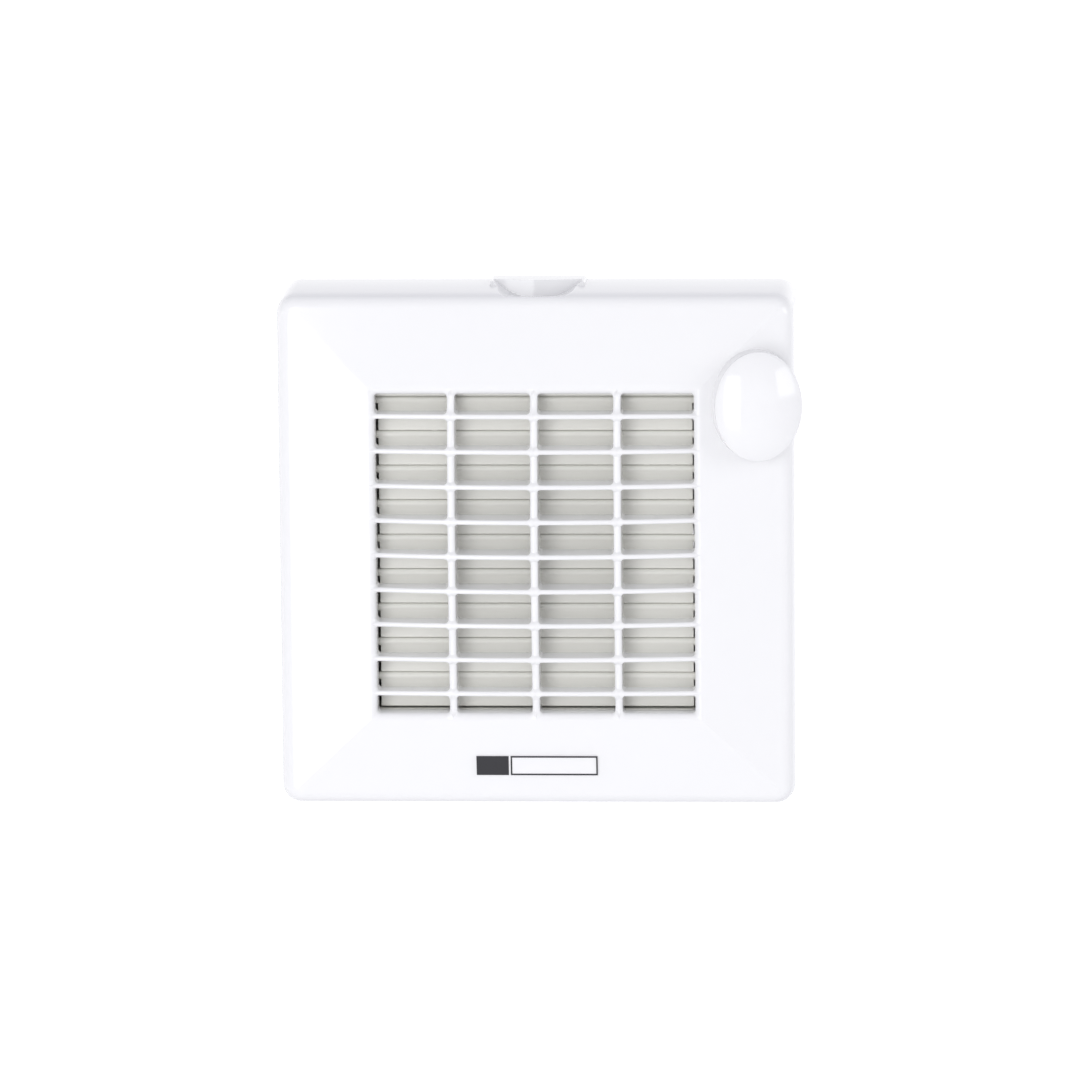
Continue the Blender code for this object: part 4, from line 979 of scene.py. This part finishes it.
class FAN_OT_tray(bpy.types.Operator):
    """Build the wall tray with its posts, sockets, ribs and holes"""

    bl_idname = "fan.tray"
    bl_label = "Wall tray"

    def execute(self, context):
        half, wall = 0.0766, 0.0024
        inner = half - wall
        tray = bmesh.new()
        add_rings(tray, [square_ring(*ring) for ring in (
            (half - 0.0006, 0.0, 0.0044), (half, 0.0006, 0.005), (half, 0.0096, 0.005), (half - 0.0004, 0.01, 0.0046),
            (inner + 0.0004, 0.01, 0.003), (inner, 0.0096, 0.0026), (inner, wall + 0.001, 0.0026),
            (inner - 0.0003, wall + 0.0003, 0.0023), (inner - 0.001, wall, 0.0016))], True, True)
        root = wall - 0.0006
        posts = []
        for places, top, radius, steps, rounding in (
                (FRAME_POSTS, 0.0195, 0.0035, 32, 0.0003), (PEGS, 0.014, 0.004, 32, 0.0004),
                (BRACKET_POSTS, 0.0167, 0.0032, 32, 0.0003), (CLAMP_POSTS, 0.0078, 0.0028, 32, 0.0003),
                (WALL_HOLES, 0.0042, 0.0052, 40, 0.0004)):
            posts += out_rods(places, root, top, radius, steps, rounding)
        ribs = []
        upright = [(x, z, 0.0006, 0.0078) for x in (0.0, 0.0125, -0.0125) for z in (0.066, -0.066)]
        level = [(x, z, 0.0078, 0.0006) for x, z in ((-0.066, 0.0), (-0.066, 0.0125), (0.066, 0.03), (0.066, 0.0425))]
        for x, z, half_x, half_z in upright + level:
            ribs.append(block((x - half_x, -0.0052, z - half_z), (x + half_x, -root, z + half_z), 0.0002))
        holes = []
        for places, low, high, radius, steps in (
                ([(0.0, 0.0)], -0.001, 0.004, 0.0496, 128), (WALL_HOLES, -0.001, 0.005, 0.0025, 32),
                (FLANGE_SCREWS, -0.001, 0.004, 0.0017, 20), ([CABLE], -0.001, 0.004, 0.006, 48),
                (FRAME_POSTS, 0.01, 0.021, 0.0017, 20), (PEGS, 0.004, 0.016, 0.0023, 24),
                (BRACKET_POSTS, 0.008, 0.018, 0.0016, 20), (CLAMP_POSTS, 0.003, 0.009, 0.0014, 20),
                ([TERMINAL_SCREW], -0.001, 0.004, 0.0015, 20)):
            holes += out_rods(places, low, high, radius, steps)
        result = joined("wall_tray", tray, [gathered(posts), gathered(ribs)], [gathered(holes)])
        make_piece("wall_tray", result, "grey_white_abs", "base", ("base_plate",))
        return {"FINISHED"}


class FAN_OT_spigot(bpy.types.Operator):
    """Build the duct spigot with its bell mouth, flange, bead and lugs"""

    bl_idname = "fan.spigot"
    bl_label = "Duct spigot"

    def execute(self, context):
        tube = add_hollow(bmesh.new(), in_metres(
            (53.2, 14.7), (52.9, 15), (51.7, 15), (51.4, 14.7), (50.2, 13.3), (48.8, 11.4), (47.8, 9.8), (47.3, 7.8),
            (47.3, 4), (47.3, -61.6), (47.5, -62), (48.2, -62), (48.6, -61.6), (49, -59), (49, -50), (49.3, -49.6),
            (49.3, -48.4), (49, -48), (49, 2.6), (49.2, 2.8), (55.7, 2.8), (56, 3.1), (56, 4.7), (55.7, 5), (49.8, 5),
            (49.2, 5.3), (49, 6), (49, 8.8), (49.5, 10.1), (50.7, 12), (52, 13.4)), ORIGIN, OUT, 144)
        lugs = round_the_duct((0.0405, 0.0458, -0.0045), (0.048, 0.055, 0.0045), 0.0005)
        holes = out_rods(SPIDER_SCREWS, -0.0535, -0.045, 0.0016, 20)
        holes += out_rods(FLANGE_SCREWS, 0.002, 0.006, 0.0017, 20)
        result = joined("spigot_tube", tube, [gathered(lugs)], [gathered(holes)])
        make_piece("spigot_tube", result, "grey_white_abs", "base", ("duct_spigot",))
        return {"FINISHED"}


# ------------------------------------------------------------------ motor, impeller, drive


def turned_piece(name, node, profile, steps, slot, body="base", hollow=True, centre=ORIGIN, axis=OUT):
    """Add a turned piece that stands for one node, from a profile in millimetres."""
    work = (add_hollow if hollow else add_turned)(bmesh.new(), in_metres(*profile), centre, axis, steps)
    return make_piece(name, work, slot, body, (node,))


class FAN_OT_impeller(bpy.types.Operator):
    """Build the impeller, with a hollow hub and twisted blades, and its rotor"""

    bl_idname = "fan.impeller"
    bl_label = "Impeller"

    def execute(self, context):
        wheel = add_hollow(bmesh.new(), in_metres(
            (6.2, 15.5), (10, 15.2), (14, 14.2), (17, 12.6), (19, 10.6), (19.8, 8.8), (20, 7), (20, -5.8), (19.8, -6),
            (18.6, -6), (18.4, -5.8), (18.4, 6.8), (18, 8.6), (16.8, 10.6), (15, 12), (12, 13.1), (9.3, 13.6),
            (9.3, 9.2), (9.1, 9), (5.2, 9), (5.2, -3.8), (5, -4), (2.8, -4), (2.8, 10.8), (5.5, 10.8), (5.8, 11.1)),
            ORIGIN, OUT, 96)
        result = joined("impeller_wheel", wheel, [gathered([self.blade(number) for number in range(7)])], [])
        make_piece("impeller_wheel", result, "grey_plastic", "rotor", ("impeller",))
        turned_piece("rotor_stack", "rotor_core", ((12.2, -18.2), (12.7, -18.7), (12.7, -35.3), (12.2, -35.8),
                                                   (2.9, -35.8), (2.8, -18.2)), 64, "lamination_steel", "rotor")
        turned_piece("rotor_shaft", "motor_shaft", ((0, 14.8), (1.9, 14.8), (2.5, 14.2), (2.5, -44), (2.3, -44.6),
                                                    (1.9, -45), (0, -45)), 40, "zinc_steel", "rotor", False)
        return {"FINISHED"}

    def blade(self, number):
        """Return one twisted blade, from inside the hub's wall to its tip."""
        outline = [(1.0, 0.0), (0.86, 0.34), (0.64, 0.5), (0.36, 0.56), (0.08, 0.55), (-0.22, 0.52), (-0.52, 0.44),
                   (-0.8, 0.34), (-1.0, 0.12)]
        outline += [(-1.0, -0.12)] + [(along, -thick) for along, thick in reversed(outline[1:-1])]
        root, tip = 0.0185, 0.0461
        rings = []
        for station in range(11):
            span = station / 10.0
            radius = root + span * (tip - root)
            pitch = math.radians(40.0 - 16.0 * span)
            chord = 0.0228 + 0.0225 * span
            ring = []
            for along, thick in outline:
                share = along * 0.5
                camber = 0.0022 * (1.0 - 4.0 * share * share) + thick * 0.0016
                sideways = share * chord * math.cos(pitch) + camber * math.sin(pitch)
                out = 0.0012 + share * chord * math.sin(pitch) - camber * math.cos(pitch)
                angle = number * math.tau / 7 + sideways / radius + 0.18 * span
                ring.append((radius * math.cos(angle), -out, radius * math.sin(angle)))
            rings.append(ring)
        blade = bmesh.new()
        add_rings(blade, rings, True, True)
        bmesh.ops.recalc_face_normals(blade, faces=blade.faces)
        return blade


class FAN_OT_motor(bpy.types.Operator):
    """Build the winding, bearing brackets, sleeves and the spider plate"""

    bl_idname = "fan.motor"
    bl_label = "Motor"

    def execute(self, context):
        self.winding()
        self.bracket("front_bracket", "front_bearing_bracket", 0.011, 0.013, 0.0187, 0.0095, 0.0172)
        self.bracket("rear_bracket", "rear_bearing_bracket", 0.041, 0.043, 0.0353, 0.0368, 0.0446)
        sleeve = ((4.5, 3), (4.3, 3.2), (2.9, 3.2), (2.7, 3), (2.7, -3), (2.9, -3.2), (4.3, -3.2), (4.5, -3))
        for node in ("front_bearing", "rear_bearing"):
            low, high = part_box(node)
            middle = (Vector(low) + Vector(high)) / 2
            turned_piece(f"{node}_sleeve", node, sleeve, 48, "bronze", centre=(0.0, middle.y, 0.0))
        self.spider()
        return {"FINISHED"}

    def winding(self):
        """Wire laid in even turns round the bobbin's barrel."""
        low, high = (Vector(corner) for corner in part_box("coil_winding"))
        middle = (low + high) / 2
        half_y, half_z = (high.y - low.y) / 2, (high.z - low.z) / 2
        wire, start = 0.00025, low.x + 0.0001
        count = int((high.x - low.x) / (2 * wire))
        stations = [(start, 0.0048)]
        for turn in range(count):
            for step in range(4):
                angle = math.pi * (step + 0.5) / 4
                x = start + (turn + 0.5 - 0.5 * math.cos(angle)) * 2 * wire * 0.99
                stations.append((x, wire * (1.0 - math.sin(angle)) + 0.0006 * (turn < 2 or turn >= count - 2)))
        stations.append((high.x - 0.0001, 0.0048))
        shares = [0.0, 0.05, 0.1, 0.15, 0.2, 0.5, 0.8, 0.85, 0.9, 0.95, 1.0]
        rings = []
        for x, inset in stations:
            ring = round_walk(-half_y + inset, half_y - inset, -half_z + inset, half_z - inset, shares, shares,
                              max(0.0045 - inset, 0.0003), 4)
            rings.append([(x, middle.y + y, middle.z + z) for y, z in ring])
        work = bmesh.new()
        add_rings(work, rings, looped=True)
        make_piece("coil_wire", make_mesh("coil_wire", work, 80.0), "copper", "base", ("coil_winding",))

    def bracket(self, name, node, low, high, foot, boss_low, boss_high):
        """Cast bar with rounded ends, two feet and a bearing boss."""
        bar = block((-0.0212, low, -0.0058), (0.0212, high, 0.0058), 0.0005)
        inside = high if foot > high else low
        feet = bolt_rods(inside - math.copysign(0.0002, foot - inside), foot, 0.0036)
        boss = rod((0.0, boss_low, 0.0), (0.0, boss_high, 0.0), 0.0075, 48, 0.0005)
        holes = [rod((0.0, boss_low - 0.001, 0.0), (0.0, boss_high + 0.001, 0.0), 0.0048, 48)]
        holes += bolt_rods(min(low, foot) - 0.001, max(high, foot) + 0.001, 0.0018, 20)
        result = joined(name, bar, [gathered(feet), boss], [gathered(holes)])
        make_piece(name, result, "cast_alloy", "base", (node,))

    def spider(self):
        """Pressed plate with raised ribs along its three arms."""
        front, back = 0.0433, 0.0455
        plate = rod((0.0, front, 0.0), (0.0, back, 0.0), 0.0235, 96, 0.0003)
        arms = round_the_duct((0.015, front + 0.0001, -0.0042), (0.0465, back - 0.0001, 0.0042), 0.0003)
        arms += round_the_duct((0.018, back - 0.0004, -0.0011), (0.0395, back + 0.0007, 0.0011), 0.0004)
        holes = [rod((0.0, 0.042, 0.0), (0.0, 0.048, 0.0), 0.0088, 64)]
        holes += bolt_rods(0.042, 0.048, 0.0018, 20) + out_rods(SPIDER_SCREWS, -0.048, -0.042, 0.0017, 20)
        make_piece("spider_plate", joined("spider_plate", plate, arms, [gathered(holes)]), "zinc_sheet", "base",
                   ("motor_spider",))


SCREWS = {
    "spigot_screw": (0.0018, 0.0013, 3),
    "spider_screw": (0.002, 0.0013, 3),
    "frame_screw": (0.0022, 0.0014, 4),
    "terminal_screw": (0.0018, 0.0012, 0),
    "clamp_screw": (0.0018, 0.0011, 2),
    "bracket_screw": (0.0018, 0.0013, 2),
    "motor_bolt": (0.002, 0.0015, 2),
}


class FAN_OT_screws(bpy.types.Operator):
    """Build the pan-head screws with cross recesses and rolled threads"""

    bl_idname = "fan.screws"
    bl_label = "Screws"

    def execute(self, context):
        for kind, (head, shank, count) in SCREWS.items():
            nodes = [f"{kind}_{number}" for number in range(1, count + 1)] or [kind]
            low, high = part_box(nodes[0])
            mesh = self.screw(kind, (high[2] - low[2]) / 2, head, shank, high[1] - low[1] - head)
            for node in nodes:
                low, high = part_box(node)
                copy = mesh.copy()
                copy.transform(Matrix.Translation(((low[0] + high[0]) / 2, low[1] + head, (low[2] + high[2]) / 2)))
                make_piece(f"{node}_finished", copy, "zinc_steel", "base", (node,))
        return {"FINISHED"}

    def screw(self, name, radius, head, shank, length):
        """Return the mesh of a screw whose seat is at the origin and whose head faces the room."""
        profile = [(0.0, head)]
        profile += [(radius * share, head * rise) for share, rise in ((0.25, 0.99), (0.5, 0.95), (0.72, 0.85),
                    (0.88, 0.68), (0.97, 0.45), (1.0, 0.25), (1.0, 0.06), (0.96, 0.0))]
        profile += [(shank, 0.0)]
        pitch = 0.0008
        depth = 0.8 * (length - 2.5 * shank)
        for turn in range(int(depth / pitch)):
            at = -(length - 2.5 * shank - depth) - turn * pitch
            profile += [(shank * 0.84, at - 0.1 * pitch), (shank * 0.84, at - 0.5 * pitch), (shank, at - 0.8 * pitch)]
        profile += [(shank * 0.84, -length + 2.0 * shank), (shank * 0.3, -length + 0.0002), (0.0, -length)]
        body = add_turned(bmesh.new(), profile, (0.0, 0.0, 0.0), (0.0, -1.0, 0.0), 24)
        slot = radius * 0.13
        arm = radius * 0.52
        cross = [block((-arm, -head - 0.001, -slot), (arm, -head * 0.42, slot), 0.0)]
        cross.append(block((-slot, -head - 0.001, -arm), (slot, -head * 0.42, arm), 0.0))
        return make_mesh(name, joined(name, body, [], cross))


class FAN_OT_drive(bpy.types.Operator):
    """Build the thermal actuator, its plunger, the return spring and the cable grommet"""

    bl_idname = "fan.drive"
    bl_label = "Shutter drive"

    def execute(self, context):
        x, y = ACTUATOR
        can = ((0, -38), (5.8, -38), (6.3, -37.6), (6.5, -37), (6.5, -34), (6.2, -33.7), (6.2, -32.8), (6.5, -32.5),
               (6.5, -15), (6.2, -14.6), (6, -14), (6, -12), (5.6, -11.6), (5, -11.4), (5, -8.6), (4.6, -8), (2.6, -8),
               (2.3, -8.3), (2.3, -32), (0, -32))
        turned_piece("actuator_can", "actuator_body", can, 48, "dark_plastic", "base", False, (x, y, 0.0), UP)
        pin = ((0, -29.4), (1.6, -29.4), (2, -29), (2, 0), (1.7, 0.4), (1, 0.6), (0, 0.6))
        turned_piece("actuator_pin", "actuator_plunger", pin, 32, "bronze", "plunger", False, (x, y, 0.0), UP)
        sleeve = ((7.9, 5), (8.2, 4.7), (8.2, 3), (7.9, 2.7), (6, 2.7), (5.7, 2.4), (5.7, 0.4), (5.5, 0.2), (3.7, 0.2),
                  (3.5, 0.4), (3.5, 4.6), (3.8, 5))
        turned_piece("grommet_sleeve", "cable_grommet", sleeve, 64, "black_rubber", centre=(CABLE[0], 0.0, CABLE[1]))
        self.spring(x, y)
        return {"FINISHED"}

    def spring(self, x, y):
        """Close-ended compression spring, which the rising link bar shortens in the real fan; here it is built at one
        length.
        """
        low, high = 0.0033, 0.0196
        wire, radius, turns, steps = 0.00035, 0.003, 7.0, 28
        curve = bpy.data.curves.new("coil_spring", "CURVE")
        curve.dimensions = "3D"
        curve.bevel_depth = wire
        curve.bevel_resolution = 3
        curve.use_fill_caps = True
        spline = curve.splines.new("POLY")
        spline.points.add(int(turns * steps))
        for step, point in enumerate(spline.points):
            turn = step / steps
            rise = min(turn, 1.0) * 0.0007 + min(max(turn - turns + 1.0, 0.0), 1.0) * 0.0007
            body = max(min(turn, turns - 1.0) - 1.0, 0.0) / (turns - 2.0)
            height = low + wire + rise + body * (high - low - 2.0 * wire - 0.0014)
            angle = math.tau * turn
            point.co = (x + radius * math.cos(angle), y + radius * math.sin(angle), height, 1.0)
        piece = put("coil_spring", curve)
        mesh = bpy.data.meshes.new_from_object(piece.evaluated_get(bpy.context.evaluated_depsgraph_get()))
        bpy.data.objects.remove(piece, do_unlink=True)
        mesh.materials.clear()
        mesh.shade_smooth()
        spring = make_piece("coil_spring", mesh, "zinc_steel", "base", ("return_spring",))
        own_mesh(spring)


# -------------------------------------------------------------------------------- stage


def bright_panel(name, place, toward, size, power):
    """Add a soft rectangular light that faces a point."""
    light = bpy.data.lights.new(name, "AREA")
    light.shape = "RECTANGLE"
    light.size, light.size_y = size
    light.energy = power
    lamp = put(name, light)
    lamp.location = place
    lamp.rotation_euler = (Vector(toward) - Vector(place)).to_track_quat("-Z", "Y").to_euler()


def soft_room():
    """Return a world that is bright near the horizon and dimmer overhead and at the sides."""
    world = bpy.data.worlds.new("soft_room")
    world.use_nodes = True
    room = Nodes(world.node_tree)
    place = room.add("ShaderNodeTexCoord", {}, {}, "Generated")
    height = room.ramp(room.along(place, "Z"), (0.0, 1.0), (0.12, (0.98, 0.98, 0.99)), (0.3, (0.8, 0.8, 0.83)),
                       (0.7, (0.64, 0.64, 0.68)), (1.0, (0.6, 0.6, 0.65)))
    graded = room.shade(1.0, height, 0.98 + 0.09 * room.along(place, "Y"), "MULTIPLY")
    sky = room.tree.nodes["Background"]
    room.feed(sky.inputs["Color"], graded)
    room.feed(sky.inputs["Strength"], 1.15)
    return world


class FAN_OT_stage(bpy.types.Operator):
    """Build the pale floor, the soft lights and the camera"""

    bl_idname = "fan.stage"
    bl_label = "Stage"

    def execute(self, context):
        self.floor()
        context.scene.world = soft_room()
        centre = (0.0, -0.03, 0.0)
        bright_panel("left_panel", (-0.525, -1.405, 0.05), centre, (0.66, 1.33), 8.0)
        bright_panel("right_panel", (1.05, -0.49, 0.33), centre, (0.6, 0.5), 1.9)
        self.camera(context.scene, context.scene.fan_stage)
        context.scene.view_settings.view_transform = "Standard"
        return {"FINISHED"}

    def floor(self):
        """Add a wide pale floor that glows brighter behind the fan: painted light in place of a lamp's pool on the
        floor there.
        """
        work = bmesh.new()
        bmesh.ops.create_circle(work, cap_ends=True, segments=64, radius=30.0)
        mesh = bpy.data.meshes.new("floor")
        work.to_mesh(mesh)
        work.free()
        floor = put("floor", mesh)
        floor.location.z = -0.6
        paint = Finish("floor_paint_and_glow", 0.9)
        paint.surface("Base Color", paint.shade(paint.noise(3.0), (0.93, 0.93, 0.93), (0.95, 0.95, 0.95)))
        # The emission is painted light: a glow on the floor behind the fan, standing in for a lamp.
        paint.surface("Emission Color", paint.ramp(paint.along(paint.place, "Y"), (0.3, 0.0), (1.0, 1.0)))
        paint.surface("Emission Strength", 0.4)
        mesh.materials.append(paint.material)

    def camera(self, scene, s):
        """Add the camera and aim it at the fan."""
        camera = bpy.data.cameras.new("camera")
        camera.lens = s.lens
        camera.sensor_width = 36.0
        camera.sensor_fit = "HORIZONTAL"
        camera.clip_end = 100.0
        eye = put("camera", camera)
        flat = math.cos(s.elevation)
        away = Vector((math.sin(s.azimuth) * flat, -math.cos(s.azimuth) * flat, math.sin(s.elevation)))
        eye.location = Vector(s.target) + away * s.distance
        look = (-away).to_track_quat("-Z", "Y").to_matrix().to_4x4()
        eye.rotation_euler = (look @ Matrix.Rotation(s.roll, 4, "Z")).to_euler()
        scene.camera = eye


class FAN_OT_carried(bpy.types.Operator):
    """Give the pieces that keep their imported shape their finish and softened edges"""

    bl_idname = "fan.carried"
    bl_label = "Carried-over pieces"

    def execute(self, context):
        slots = {entry["node"]: entry["material_slot"] for entry in frame["record"]["subparts"]}
        for node, thing in frame["nodes"].items():
            if thing.hide_render:
                continue
            mesh = thing.data
            mesh.materials.clear()
            mesh.materials.append(FINISHES[slots[node]])
            merge = thing.modifiers.new("flat_faces", "DECIMATE")
            merge.decimate_type = "DISSOLVE"
            merge.angle_limit = math.radians(1.0)
            edge = thing.modifiers.new("soft_edges", "BEVEL")
            edge.width = 0.00018
            edge.segments = 2
            edge.limit_method = "ANGLE"
            edge.angle_limit = math.radians(40.0)
            edge.harden_normals = False
            normals = thing.modifiers.new("even_normals", "WEIGHTED_NORMAL")
            normals.keep_sharp = True
        return {"FINISHED"}


# --------------------------------------------------------------------------- add-on parts


class FAN_PT_panel(bpy.types.Panel):
    """Sidebar panel that lists the fan's builders"""

    bl_idname = "FAN_PT_panel"
    bl_label = "Extractor fan"
    bl_space_type = "VIEW_3D"
    bl_region_type = "UI"
    bl_category = "Extractor fan"

    def draw(self, context):
        for group in (context.scene.fan_cover, context.scene.fan_dome, context.scene.fan_shutters,
                      context.scene.fan_finish, context.scene.fan_stage):
            box = self.layout.box()
            for name in group.__annotations__:
                box.prop(group, name)
        for builder in BUILDERS:
            self.layout.operator(builder.bl_idname)


SETTINGS = {
    "fan_cover": FanCoverSettings,
    "fan_dome": FanDomeSettings,
    "fan_shutters": FanShutterSettings,
    "fan_finish": FanFinishSettings,
    "fan_stage": FanStageSettings,
}
BUILDERS = (FAN_OT_stage, FAN_OT_cover, FAN_OT_dome, FAN_OT_badge, FAN_OT_shutters, FAN_OT_tray, FAN_OT_spigot,
            FAN_OT_impeller, FAN_OT_motor, FAN_OT_screws, FAN_OT_drive, FAN_OT_carried)


def register():
    """Register the settings, the builders and the panel."""
    for name, group in SETTINGS.items():
        bpy.utils.register_class(group)
        setattr(bpy.types.Scene, name, PointerProperty(type=group))
    for item in (*BUILDERS, FAN_PT_panel):
        bpy.utils.register_class(item)


def unregister():
    """Take away what register() added."""
    for item in (FAN_PT_panel, *reversed(BUILDERS)):
        bpy.utils.unregister_class(item)
    for name, group in SETTINGS.items():
        delattr(bpy.types.Scene, name)
        bpy.utils.unregister_class(group)


def main():
    """Build the whole fan."""
    register()
    mix_finishes(bpy.context.scene.fan_finish)
    for builder in BUILDERS:
        group, name = builder.bl_idname.split(".")
        getattr(getattr(bpy.ops, group), name)()


if __name__ == "__main__":
    main()
